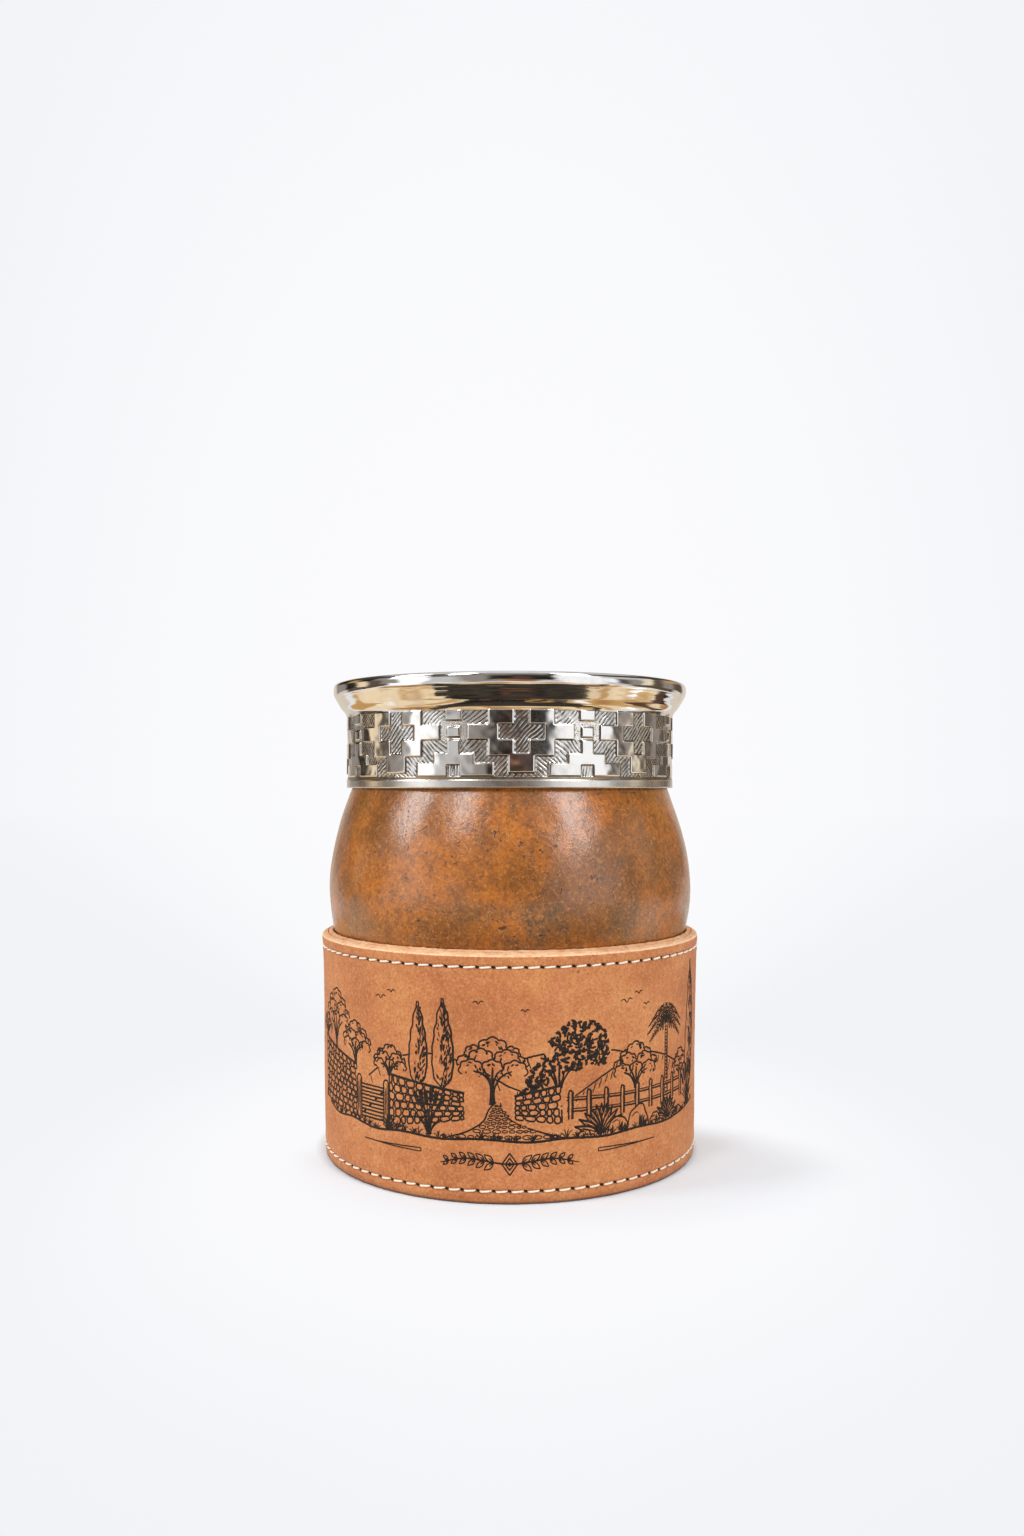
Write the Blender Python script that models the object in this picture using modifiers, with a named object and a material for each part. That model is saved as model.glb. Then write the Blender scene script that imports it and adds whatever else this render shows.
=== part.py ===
"""Leather-covered mate gourd: a cut calabash with a nickel-silver ferrule, standing in a
stitched two-ply leather sleeve.

Units are metres and +Z is up. The origin is the centre of the sleeve's foot, on the table.
The butt seam of the leather is at the back, on the +Y side.
"""

from math import asin, cos, hypot, pi, sin, sqrt, tau

import bpy
from mathutils import Vector

# Facets
RING_STEPS = 48
BEAD_STEPS = 8
BOWL_STEPS = 6
NECK_STEPS = 5
BELLY_STEPS = 8
CAVITY_STEPS = 7
BEDDING_STEPS = 3
BEDDING_ROOF_STEPS = 4
SLEEVE_STEPS = 3
POINTS_PER_STITCH = 2
HOLE_SIDES = 8
MERGE = 0.00001

# Clearances between pieces that touch on the real object
GAP = 0.0003
GLUE_LINE = 0.00025

# Gourd
GOURD_BELLY_R = 0.0433
GOURD_BELLY_RISE = 0.05565
GOURD_FLAT_R = 0.012
GOURD_FULLNESS = 1.6
GOURD_NECK_RISE = 0.03566
GOURD_NECK_DRAW = 0.01058
GOURD_MOUTH_RISE = 0.03125
GOURD_WALL = 0.005
GOURD_FLOOR = 0.0065

# Ferrule: chased band, spun bowl with its throat collar, and the soldered lip bead
BAND_FOOT_RISE = 0.02405
BAND_SHEET = 0.0008
BAND_GLUE = 0.0005
BAND_BORDER = 0.0019
BAND_LINE_WIDTH = 0.0004
BAND_LINE_DEPTH = 0.0002
RIM_SHEET = 0.0009
RIM_FLARE = 0.0026
RIM_BOWL_DEPTH = 0.0117
RIM_LIP_TURN_OUT = 0.0011
RIM_LIP_TURN_DOWN = 0.0027
THROAT_SEAT = 0.0019
THROAT_LENGTH = 0.0089
BEAD_HEIGHT = 0.0031
BEAD_WIDTH = 0.0015
BEAD_PROUD = 0.0006
BEAD_SQUARENESS = 0.6
BEDDING_INSET = 0.0015

# Leather sleeve and its base
SLEEVE_HEIGHT = 0.0524
SLEEVE_CLEARANCE = 0.00025
LEATHER_THICKNESS = 0.0013
LINING_THICKNESS = 0.0011
SLEEVE_TAPER = 0.00062
SLEEVE_LIP_FLARE = 0.00033
SLEEVE_LIP_POWER = 12
OUTER_EDGE_FALL = 0.0009
LINING_EDGE_FALL = 0.0001
LINING_FOOT_RISE = 0.0005
FOOT_EDGE_ROUND = 0.0006
SOLE_THICKNESS = 0.004
SOLE_EDGE_ROUND = 0.0004
INSOLE_THICKNESS = 0.0015
INSOLE_EDGE_ROUND = 0.0003

# Stitching
THREAD_R = 0.00025
STITCH_PITCH = 0.00341
STITCH_INSET_TOP = 0.0034
STITCH_INSET_FOOT = 0.00275
STITCH_STAND = 0.0001
STITCH_DIP = 0.0002
BASE_STITCH_INSET = 0.0016

# Butt seam at the back, laced with a heavier thread
SEAM_OPENING = 0.0004
SEAM_HALF_WIDTH = 0.003
SEAM_PITCH = 0.0042
SEAM_MARGIN_TOP = 0.0069
SEAM_MARGIN_FOOT = 0.0065
SEAM_SKIVE = 0.0005
SKIVE_MARGIN = 0.0006
LACING_R = 0.00035
LACING_CLEARANCE = 0.00015

# Colours, roughness and metallic value
COLOURS = {
    "gourd": ((0.36, 0.14, 0.045), 0.38, 0.0),
    "gourd_resin": ((0.10, 0.07, 0.05), 0.55, 0.0),
    "nickel_silver_band": ((0.66, 0.64, 0.61), 0.24, 1.0),
    "nickel_silver_rim": ((0.72, 0.68, 0.63), 0.10, 1.0),
    "nickel_silver_bead": ((0.74, 0.71, 0.67), 0.12, 1.0),
    "leather_face": ((0.62, 0.29, 0.15), 0.70, 0.0),
    "leather_lining": ((0.58, 0.33, 0.19), 0.85, 0.0),
    "leather_sole": ((0.42, 0.21, 0.11), 0.72, 0.0),
    "insole_felt": ((0.30, 0.20, 0.13), 0.95, 0.0),
    "waxed_thread": ((0.80, 0.74, 0.62), 0.60, 0.0),
    "lacing_thread": ((0.76, 0.68, 0.55), 0.62, 0.0),
}

# Heights worked out from the stack: sole, insole, gourd, throat, lip
INSOLE_FOOT_Z = SOLE_THICKNESS + GAP
GOURD_FOOT_Z = INSOLE_FOOT_Z + INSOLE_THICKNESS + GAP
BELLY_Z = GOURD_FOOT_Z + GOURD_BELLY_RISE
MOUTH_Z = BELLY_Z + GOURD_MOUTH_RISE
BAND_FOOT_Z = BELLY_Z + BAND_FOOT_RISE
THROAT_Z = MOUTH_Z + THROAT_SEAT
LIP_Z = THROAT_Z + RIM_BOWL_DEPTH


def clear_scene():
    """Remove the objects that the file opened with."""
    for item in list(bpy.data.objects):
        bpy.data.objects.remove(item, do_unlink=True)


def new_collection(name):
    """A collection linked to the scene."""
    group = bpy.data.collections.new(name)
    bpy.context.scene.collection.children.link(group)
    return group


def finish(name):
    """A Principled material from the colour table."""
    colour, roughness, metallic = COLOURS[name]
    material = bpy.data.materials.new(name)
    material.use_nodes = True
    shader = material.node_tree.nodes["Principled BSDF"]
    shader.inputs["Base Color"].default_value = (*colour, 1.0)
    shader.inputs["Roughness"].default_value = roughness
    shader.inputs["Metallic"].default_value = metallic
    return material


def turned(name, profile, material, group, parent=None, closed=True):
    """A turned shape: a profile of (radius, height) points, swept round Z by a Screw."""
    count = len(profile)
    links = [(i, i + 1) for i in range(count - 1)]
    if closed:
        links.append((count - 1, 0))
    mesh = bpy.data.meshes.new(name)
    mesh.from_pydata([(radius, 0.0, height) for radius, height in profile], links, [])
    item = bpy.data.objects.new(name, mesh)
    group.objects.link(item)
    item.parent = parent
    item.data.materials.append(material)
    screw = item.modifiers.new("turn", "SCREW")
    screw.axis = "Z"
    screw.angle = tau
    screw.steps = RING_STEPS
    screw.render_steps = RING_STEPS
    screw.use_merge_vertices = True
    screw.merge_threshold = MERGE
    screw.use_smooth_shade = True
    return item


def tube(name, points, radius, material, group, parent, cyclic):
    """A thread: a poly curve with a round bevel."""
    curve = bpy.data.curves.new(name, "CURVE")
    curve.dimensions = "3D"
    curve.bevel_depth = radius
    curve.bevel_resolution = 0
    curve.use_fill_caps = not cyclic
    spline = curve.splines.new("POLY")
    spline.points.add(len(points) - 1)
    for point, place in zip(spline.points, points):
        point.co = (*place, 1.0)
    spline.use_cyclic_u = cyclic
    item = bpy.data.objects.new(name, curve)
    group.objects.link(item)
    item.parent = parent
    item.data.materials.append(material)
    return item


def steps(low, high, count):
    """Evenly spaced values from low to high, both included."""
    return [low + (high - low) * i / count for i in range(count + 1)]


# Gourd


def gourd_pole_depth():
    """Depth from the belly to the pole that the sanded flat cuts away."""
    share = (GOURD_FLAT_R / GOURD_BELLY_R) ** 2
    return GOURD_BELLY_RISE / (1.0 - share) ** (1.0 / GOURD_FULLNESS)


def gourd_radius(height):
    """Outer radius of the gourd at a height."""
    if height >= BELLY_Z:
        turn = (height - BELLY_Z) / GOURD_NECK_RISE * pi / 2.0
        return GOURD_BELLY_R - GOURD_NECK_DRAW * (1.0 - cos(turn))
    share = (BELLY_Z - height) / gourd_pole_depth()
    return GOURD_BELLY_R * sqrt(1.0 - share ** GOURD_FULLNESS)


def gourd_widest_below(height):
    """Largest radius of the gourd from its foot up to a height."""
    return GOURD_BELLY_R if height > BELLY_Z else gourd_radius(height)


def cavity_radius(height):
    """Radius of the hollow in the gourd at a height."""
    if height >= BELLY_Z:
        return gourd_radius(height) - GOURD_WALL
    share = (BELLY_Z - height) / (GOURD_BELLY_RISE - GOURD_FLOOR)
    return (GOURD_BELLY_R - GOURD_WALL) * sqrt(max(0.0, 1.0 - share ** GOURD_FULLNESS))


def eased_heights(low, high, count):
    """Heights from low to high, set closer together near low."""
    return [high - (high - low) * sin(pi / 2.0 * (1.0 - i / count)) for i in range(count + 1)]


def make_gourd(group, parent):
    """The shell: up the hollow from its floor, over the cut mouth and down the outside."""
    floor_z = GOURD_FOOT_Z + GOURD_FLOOR
    hollow = [(cavity_radius(z), z) for z in eased_heights(floor_z, BELLY_Z, CAVITY_STEPS)]
    inner_neck = [(cavity_radius(z), z) for z in steps(BELLY_Z, MOUTH_Z, NECK_STEPS)[1:]]
    outer_neck = [(gourd_radius(z), z) for z in steps(BELLY_Z, MOUTH_Z, NECK_STEPS)[::-1]]
    belly = [(gourd_radius(z), z) for z in eased_heights(GOURD_FOOT_Z, BELLY_Z, BELLY_STEPS)]
    profile = hollow + inner_neck + outer_neck + belly[-2::-1] + [(0.0, GOURD_FOOT_Z)]
    return turned("gourd_shell", profile, finish("gourd"), group, parent, closed=False)


# Ferrule


def band_radius():
    """Outer radius of the band, from the neck that it is bedded on."""
    return gourd_radius(BAND_FOOT_Z) + BAND_GLUE + BAND_SHEET


def collar_radius():
    """Outer radius of the throat collar, which drops into the gourd's mouth."""
    return cavity_radius(MOUTH_Z) - GAP


def bowl_point(share):
    """A point of the bowl's outer face, from the throat (0) to the lip (1)."""
    lip_radius = band_radius() + RIM_FLARE
    anchors = (
        Vector((collar_radius(), THROAT_Z)),
        Vector((lip_radius - RIM_LIP_TURN_OUT, LIP_Z - RIM_LIP_TURN_DOWN)),
        Vector((lip_radius, LIP_Z)),
    )
    weights = ((1.0 - share) ** 2, 2.0 * share * (1.0 - share), share ** 2)
    return sum((anchor * weight for anchor, weight in zip(anchors, weights)), Vector((0.0, 0.0)))


def bowl_share(radius):
    """Where on the bowl, from 0 to 1, its outer face has a radius."""
    start = bowl_point(0.0).x
    turn = band_radius() + RIM_FLARE - RIM_LIP_TURN_OUT
    end = bowl_point(1.0).x
    square = start - 2.0 * turn + end
    linear = 2.0 * (turn - start)
    return (-linear + sqrt(linear ** 2 - 4.0 * square * (start - radius))) / (2.0 * square)


def under_bowl(radius, clearance):
    """Height that stays a clearance under the bowl's outer face at a radius."""
    share = bowl_share(radius)
    ahead = bowl_point(share + MERGE)
    slope = (ahead - bowl_point(share)).normalized()
    return bowl_point(share).y - clearance / slope.x


def make_band(group, parent):
    """The band: a thin cylinder, its top mitred to the bowl, with a scored line over its border."""
    outer = band_radius()
    inner = outer - BAND_SHEET
    line_foot = BAND_FOOT_Z + BAND_BORDER
    line_top = line_foot + BAND_LINE_WIDTH
    score = outer - BAND_LINE_DEPTH
    profile = [
        (outer, under_bowl(outer, GAP)),
        (outer, line_top),
        (score, (line_foot + line_top) / 2.0),
        (outer, line_foot),
        (outer, BAND_FOOT_Z),
        (inner, BAND_FOOT_Z),
        (inner, under_bowl(inner, GAP)),
    ]
    return turned("chased_band", profile, finish("nickel_silver_band"), group, parent)


def make_rim(group, parent):
    """The spun sheet: bowl from the lip down to the throat, then the collar in the mouth."""
    bowl = [bowl_point(1.0 - i / BOWL_STEPS) for i in range(BOWL_STEPS + 1)]
    profile = [(point.x, point.y) for point in bowl]
    profile.append((collar_radius(), THROAT_Z - THROAT_LENGTH))
    item = turned("flared_rim", profile, finish("nickel_silver_rim"), group, parent, closed=False)
    sheet = item.modifiers.new("sheet", "SOLIDIFY")
    sheet.thickness = RIM_SHEET
    sheet.offset = -1.0
    sheet.use_even_offset = True
    return item


def make_bead(group, parent):
    """The lip bead: a ring with a rounded section, soldered on the sheet's edge."""
    outer = band_radius() + RIM_FLARE + BEAD_PROUD
    sheet_edge = LIP_Z + RIM_SHEET * RIM_LIP_TURN_OUT / hypot(RIM_LIP_TURN_OUT, RIM_LIP_TURN_DOWN)
    middle = (outer - BEAD_WIDTH / 2.0, sheet_edge + GAP + BEAD_HEIGHT / 2.0)
    profile = []
    for i in range(BEAD_STEPS):
        angle = pi / 2.0 - tau * (i + 0.5) / BEAD_STEPS
        across = abs(cos(angle)) ** BEAD_SQUARENESS * (1.0 if cos(angle) > 0.0 else -1.0)
        up = abs(sin(angle)) ** BEAD_SQUARENESS * (1.0 if sin(angle) > 0.0 else -1.0)
        profile.append((middle[0] + across * BEAD_WIDTH / 2.0, middle[1] + up * BEAD_HEIGHT / 2.0))
    return turned("rim_bead", profile, finish("nickel_silver_bead"), group, parent)


def make_bedding(group, parent):
    """The bedding: fills the room between band, bowl, collar and the gourd's neck."""
    outer = band_radius() - BAND_SHEET - GAP
    inner = collar_radius() + GAP
    foot = BAND_FOOT_Z + BEDDING_INSET
    neck = [(gourd_radius(z) + GAP, z) for z in steps(foot, MOUTH_Z, BEDDING_STEPS)]
    across = steps(inner, outer, BEDDING_ROOF_STEPS)
    roof = [(radius, under_bowl(radius, GAP)) for radius in across]
    profile = [(outer, foot)] + neck + [(neck[-1][0], MOUTH_Z + GAP), (inner, MOUTH_Z + GAP)] + roof
    return turned("neck_bedding", profile, finish("gourd_resin"), group, parent)


# Leather


def sleeve_radius(height):
    """Outer radius of the sleeve: a slight taper, and a flare where the gourd spreads its lip."""
    wall = LEATHER_THICKNESS + GLUE_LINE + LINING_THICKNESS
    top = gourd_widest_below(SLEEVE_HEIGHT) + SLEEVE_CLEARANCE + wall
    share = height / SLEEVE_HEIGHT
    foot = top - SLEEVE_TAPER - SLEEVE_LIP_FLARE
    return foot + SLEEVE_TAPER * share + SLEEVE_LIP_FLARE * share ** SLEEVE_LIP_POWER


def lining_outer_radius(height):
    """Outer radius of the lining."""
    return sleeve_radius(height) - LEATHER_THICKNESS - GLUE_LINE


def lining_inner_radius(height):
    """Radius of the room inside the sleeve."""
    return lining_outer_radius(height) - LINING_THICKNESS


def stitch_groove(face_radius, height, inward):
    """Four corners of the groove that a stitch row is sunk into, from top to bottom."""
    half_width = THREAD_R + GAP
    depth = (STITCH_DIP + THREAD_R + GAP) * inward
    return [
        (face_radius(height + half_width), height + half_width),
        (face_radius(height + half_width) - depth, height + half_width / 2.0),
        (face_radius(height - half_width) - depth, height - half_width / 2.0),
        (face_radius(height - half_width), height - half_width),
    ]


def stitch_row_heights():
    """Heights of the upper and the lower stitch row."""
    return SLEEVE_HEIGHT - STITCH_INSET_TOP, STITCH_INSET_FOOT


def make_sleeve_outer(group, parent):
    """The outer ply: a bevelled cut edge on top, a groove for each row, a rounded foot edge."""
    top_row, foot_row = stitch_row_heights()
    shoulder = SLEEVE_HEIGHT - OUTER_EDGE_FALL
    half_width = THREAD_R + GAP
    face = [(sleeve_radius(shoulder), shoulder)]
    face += stitch_groove(sleeve_radius, top_row, 1.0)
    between = steps(foot_row + half_width, top_row - half_width, SLEEVE_STEPS)
    face += [(sleeve_radius(z), z) for z in between[-2:0:-1]]
    face += stitch_groove(sleeve_radius, foot_row, 1.0)
    face += [(sleeve_radius(0.0), FOOT_EDGE_ROUND), (sleeve_radius(0.0) - FOOT_EDGE_ROUND, 0.0)]
    back_top = SLEEVE_HEIGHT - LINING_EDGE_FALL
    back = [(sleeve_radius(z) - LEATHER_THICKNESS, z) for z in steps(0.0, back_top, SLEEVE_STEPS + 1)]
    return turned("sleeve_outer", face + back, finish("leather_face"), group, parent)


def make_sleeve_lining(group, parent):
    """The inner ply, with the groove of the upper under thread on its inner face."""
    top_row = stitch_row_heights()[0]
    foot = LINING_FOOT_RISE
    outer_top = SLEEVE_HEIGHT - LINING_EDGE_FALL
    face = [(lining_outer_radius(z), z) for z in steps(foot, outer_top, SLEEVE_STEPS + 1)[::-1]]
    back = [(lining_inner_radius(z), z) for z in steps(foot, top_row, SLEEVE_STEPS)[:-1]]
    back += stitch_groove(lining_inner_radius, top_row, -1.0)[::-1]
    back.append((lining_inner_radius(SLEEVE_HEIGHT), SLEEVE_HEIGHT))
    return turned("sleeve_lining", face + back, finish("leather_lining"), group, parent)


def base_stitch_radius():
    """Radius of the ring where the lower row comes up through the sole."""
    return lining_inner_radius(0.0) - GAP - BASE_STITCH_INSET


def make_sole(group, parent):
    """The sole: a thick disc inside the foot of the sleeve, grooved for the under thread."""
    radius = lining_inner_radius(0.0) - GAP
    ring = base_stitch_radius()
    half_width = THREAD_R + GAP
    depth = STITCH_DIP + THREAD_R + GAP
    top = SOLE_THICKNESS
    profile = [
        (0.0, top),
        (ring - half_width, top),
        (ring - half_width / 2.0, top - depth),
        (ring + half_width / 2.0, top - depth),
        (ring + half_width, top),
        (radius - SOLE_EDGE_ROUND, top),
        (radius, top - SOLE_EDGE_ROUND),
        (radius, SOLE_EDGE_ROUND),
        (radius - SOLE_EDGE_ROUND, 0.0),
        (0.0, 0.0),
    ]
    return turned("base_sole", profile, finish("leather_sole"), group, parent, closed=False)


def make_insole(group, parent):
    """The loose pad that the gourd stands on."""
    radius = base_stitch_radius() - THREAD_R - 2.0 * GAP
    foot = INSOLE_FOOT_Z
    top = foot + INSOLE_THICKNESS
    profile = [
        (0.0, top),
        (radius - INSOLE_EDGE_ROUND, top),
        (radius, top - INSOLE_EDGE_ROUND),
        (radius, foot + INSOLE_EDGE_ROUND),
        (radius - INSOLE_EDGE_ROUND, foot),
        (0.0, foot),
    ]
    return turned("insole_pad", profile, finish("insole_felt"), group, parent, closed=False)


# Stitching


def stitch_count():
    """Stitches in a row, from the pitch round the upper row."""
    return round(tau * sleeve_radius(stitch_row_heights()[0]) / STITCH_PITCH)


def stitch_places():
    """Angle and stand of each point of a row: into the leather at a hole, over it between two."""
    count = POINTS_PER_STITCH * stitch_count()
    return [(tau * i / count, STITCH_STAND if i % POINTS_PER_STITCH else -STITCH_DIP) for i in range(count)]


def wall_thread(name, face_radius, height, outward, group, parent):
    """A row of stitches on a wall of the sleeve."""
    points = []
    for angle, stand in stitch_places():
        radius = face_radius + outward * stand
        points.append((radius * cos(angle), radius * sin(angle), height))
    return tube(name, points, THREAD_R, finish("waxed_thread"), group, parent, cyclic=True)


def base_thread(group, parent):
    """The under thread of the lower row, on the sole's upper face."""
    radius = base_stitch_radius()
    points = []
    for angle, stand in stitch_places():
        points.append((radius * cos(angle), radius * sin(angle), SOLE_THICKNESS + stand))
    return tube("thread_base", points, THREAD_R, finish("waxed_thread"), group, parent, cyclic=True)


# Butt seam at the back


def seam_span():
    """Lowest and highest height of the lacing."""
    return SEAM_MARGIN_FOOT, SLEEVE_HEIGHT - SEAM_MARGIN_TOP


def seam_stitches():
    """Number of slanting stitches that the seam has room for."""
    low, high = seam_span()
    return int((high - low) / SEAM_PITCH)


def seam_holes():
    """Side (-1 or 1) and height of each lacing hole, in the order that the thread visits them."""
    low = seam_span()[0]
    return [(-1 if i % 2 == 0 else 1, low + i * SEAM_PITCH / 2.0) for i in range(2 * seam_stitches())]


def skived_face(height):
    """Distance from the axis of the skived flat that the lacing lies in."""
    return sleeve_radius(height) - SEAM_SKIVE


def box_cutter(name, size, place, tilt, group):
    """A box that cuts leather away, hidden from the model itself."""
    bpy.ops.mesh.primitive_cube_add(size=1.0, location=place, rotation=(tilt, 0.0, 0.0), scale=size)
    return hide_cutter(bpy.context.object, name, group)


def hole_cutter(name, place, length, radius, group):
    """A round cutter that runs front to back."""
    bpy.ops.mesh.primitive_cylinder_add(vertices=HOLE_SIDES, radius=radius, depth=length,
                                        location=place, rotation=(pi / 2.0, 0.0, 0.0))
    return hide_cutter(bpy.context.object, name, group)


def hide_cutter(item, name, group):
    """Name a cutter and keep it out of the finished part."""
    item.name = name
    for owner in list(item.users_collection):
        owner.objects.unlink(item)
    group.objects.link(item)
    item.hide_render = True
    item.display_type = "WIRE"
    return item


def cut(item, name, group):
    """Cut a piece with every cutter of a collection."""
    boolean = item.modifiers.new(name, "BOOLEAN")
    boolean.operation = "DIFFERENCE"
    boolean.solver = "EXACT"
    boolean.operand_type = "COLLECTION"
    boolean.collection = group


def make_seam(outer, lining, group, parent):
    """Open the butt seam, skive the leather beside it, pierce it and lace it shut."""
    reach = 2.0 * (LEATHER_THICKNESS + GLUE_LINE + LINING_THICKNESS)
    low, high = seam_span()
    mid_height = (low + high) / 2.0
    wall_y = lining_outer_radius(mid_height)
    openings = new_collection("seam_cutters")
    box_cutter("seam_opening", (SEAM_OPENING, 2.0 * reach, 2.0 * SLEEVE_HEIGHT),
               (0.0, wall_y, SLEEVE_HEIGHT / 2.0), 0.0, openings)
    for i, (side, height) in enumerate(seam_holes()):
        place = (side * SEAM_HALF_WIDTH, wall_y, height)
        hole_cutter(f"lacing_hole_{i}", place, 2.0 * reach, LACING_R + GAP, openings)
    cut(outer, "seam", openings)
    cut(lining, "seam", openings)

    skive_group = new_collection("skive_cutter")
    rise = high - low + 2.0 * (LACING_R + SKIVE_MARGIN)
    slope = (skived_face(high) - skived_face(low)) / (high - low)
    chord = 2.0 * sqrt(2.0 * sleeve_radius(mid_height) * SEAM_SKIVE)
    place = (0.0, skived_face(mid_height) + reach / 2.0, mid_height)
    box_cutter("skive", (2.0 * chord, reach, rise), place, -asin(slope), skive_group)
    cut(outer, "skive", skive_group)

    lacing = []
    for side, height in seam_holes():
        x = side * SEAM_HALF_WIDTH
        over = skived_face(height) + LACING_R + LACING_CLEARANCE
        inner_face = sqrt(lining_inner_radius(height) ** 2 - SEAM_HALF_WIDTH ** 2)
        under = inner_face - LACING_R - GAP
        corner = LACING_R
        climb = [
            (x - side * corner, under, height),
            (x, under + corner, height),
            (x, over - corner, height),
            (x - side * corner, over, height),
        ]
        lacing += climb if side < 0 else climb[::-1]
    return tube("seam_lacing", lacing, LACING_R, finish("lacing_thread"), group, parent, cyclic=False)


def make_axis(name, group, parent=None):
    """An empty on the part's axis that carries one moving assembly."""
    empty = bpy.data.objects.new(name, None)
    group.objects.link(empty)
    empty.empty_display_size = GOURD_FLAT_R
    empty.parent = parent
    return empty


def main():
    clear_scene()
    part = new_collection("leather_covered_mate_gourd")

    outer = make_sleeve_outer(part, None)
    lining = make_sleeve_lining(part, None)
    make_sole(part, None)
    top_row, foot_row = stitch_row_heights()
    wall_thread("thread_top_outer", sleeve_radius(top_row), top_row, 1.0, part, None)
    wall_thread("thread_top_inner", lining_inner_radius(top_row), top_row, -1.0, part, None)
    wall_thread("thread_foot_outer", sleeve_radius(foot_row), foot_row, 1.0, part, None)
    base_thread(part, None)
    make_seam(outer, lining, part, None)

    turn_axis = make_axis("turn_axis", part)
    make_insole(part, turn_axis)
    lift_axis = make_axis("lift_axis", part, turn_axis)
    make_gourd(part, lift_axis)
    make_bedding(part, lift_axis)
    make_band(part, lift_axis)
    make_rim(part, lift_axis)
    make_bead(part, lift_axis)


main()
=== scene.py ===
"""Looks of the leather-covered mate gourd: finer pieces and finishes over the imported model.

Shapes are written in millimetres and scaled to metres when a mesh is made; +Z is up. Turns are
angles round the axis, measured from the front (-Y) towards +X. The leather's seam is at the back.
"""

from math import atan2, ceil, cos, hypot, pi, radians, sin, sqrt, tau

import bmesh
import bpy
import numpy as np
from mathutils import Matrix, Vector


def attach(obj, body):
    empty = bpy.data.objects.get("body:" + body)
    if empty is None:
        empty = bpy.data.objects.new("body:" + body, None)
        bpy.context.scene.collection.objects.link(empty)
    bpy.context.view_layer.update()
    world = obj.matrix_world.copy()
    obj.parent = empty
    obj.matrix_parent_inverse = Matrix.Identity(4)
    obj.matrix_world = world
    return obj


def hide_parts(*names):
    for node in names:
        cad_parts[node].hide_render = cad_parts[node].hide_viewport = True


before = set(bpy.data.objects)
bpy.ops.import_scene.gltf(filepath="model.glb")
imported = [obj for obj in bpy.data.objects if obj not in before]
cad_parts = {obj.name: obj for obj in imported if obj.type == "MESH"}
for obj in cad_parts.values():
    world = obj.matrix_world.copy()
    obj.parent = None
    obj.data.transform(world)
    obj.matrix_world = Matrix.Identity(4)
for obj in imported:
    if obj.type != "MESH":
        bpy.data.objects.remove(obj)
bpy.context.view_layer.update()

MM = 0.001

# Gourd
FOOT_Z = 6.1
BELLY_Z = 61.75
BELLY_R = 43.3
POLE_DEPTH = 58.5
FULLNESS = 1.6
NECK_RISE = 35.66
NECK_DRAW = 10.58
MOUTH_Z = 93.0
SHELL = 5.0
HOLLOW_DEPTH = 49.15

# Ferrule
BAND_R = 39.2
BAND_FOOT_Z = 85.8
BAND_TOP_Z = 102.55
BAND_SHEET = 0.8
BORDER_LINE = 0.35
GROUND_DEPTH = 0.3
COLLAR_R = 29.46
COLLAR_FOOT_Z = 86.0
THROAT_Z = 94.9
RIM_SHEET = 0.9
CREASE_Z = 106.95
CREASE_R = 41.8
BOWL_TURN = (40.7, 103.9)
FLARE = ((39.08, 102.3), (39.2, 102.8), (39.34, 103.25), (39.6, 103.7), (40.04, 104.2),
         (40.42, 104.6), (40.73, 105.1), (41.02, 105.6), (41.3, 106.1), (41.58, 106.55),
         (CREASE_R, CREASE_Z))
BEAD_FACE = ((41.82, 107.0), (42.02, 107.3), (42.2, 107.8), (42.28, 108.3), (42.3, 108.8),
             (42.3, 109.3), (42.24, 109.65), (42.08, 109.98), (41.8, 110.2), (41.5, 110.28),
             (41.2, 110.2), (41.0, 109.9), (40.9, 109.5), (40.9, 107.4))

# Leather
SLEEVE_TOP_Z = 52.4
SLEEVE_TOP_R = 45.03
TAPER = 0.62
LIP_FLARE = 0.33
LIP_POWER = 12
LEATHER = 1.3
GLUE_LINE = 0.25
LINING = 1.1
SOLE = 4.0
SEAM_GAP = 0.4
SKIVE = 0.5
INSOLE_FOOT_Z = 4.3
INSOLE_TOP_Z = 5.8
INSOLE_R = 38.7
PAD_COLUMNS = 192

# Stitching
STITCHES = 83
STITCH_TURN = tau / STITCHES
STITCH_R = 0.225
STITCH_SEAT = 0.12
STITCH_RISE = 0.13
STITCH_HALF = 1.3
STITCH_LEAN = 0.08
STITCH_WOBBLE = 0.035
UNDER_HALF = 1.25
FOOT_BOW = 0.05
THREAD_SIDES = 12
TOP_ROW_Z = 49.0
FOOT_ROW_Z = 2.75
BASE_RING_R = 39.53
LACING_R = 0.35
LACING_X = 3.0
LACING_FOOT_Z = 6.5
LACING_STEP = 2.1
LACING_HOLES = 18
LACING_BEND = 0.35
LACING = [(-LACING_X if i % 2 == 0 else LACING_X, LACING_FOOT_Z + i * LACING_STEP)
          for i in range(LACING_HOLES)]


# Shapes shared with the solids


def gourd_radius(z):
    """Outer radius of the gourd at a height."""
    above = BELLY_R - NECK_DRAW * (1.0 - np.cos((z - BELLY_Z) / NECK_RISE * pi / 2.0))
    share = np.clip((BELLY_Z - z) / POLE_DEPTH, 0.0, 1.0)
    below = BELLY_R * np.sqrt(1.0 - share ** FULLNESS)
    return np.where(z >= BELLY_Z, above, below)


def hollow_radius(z):
    """Radius of the gourd's hollow at a height."""
    share = np.clip((BELLY_Z - z) / HOLLOW_DEPTH, 0.0, 1.0)
    below = (BELLY_R - SHELL) * np.sqrt(1.0 - share ** FULLNESS)
    return np.where(z >= BELLY_Z, gourd_radius(z) - SHELL, below)


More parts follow.
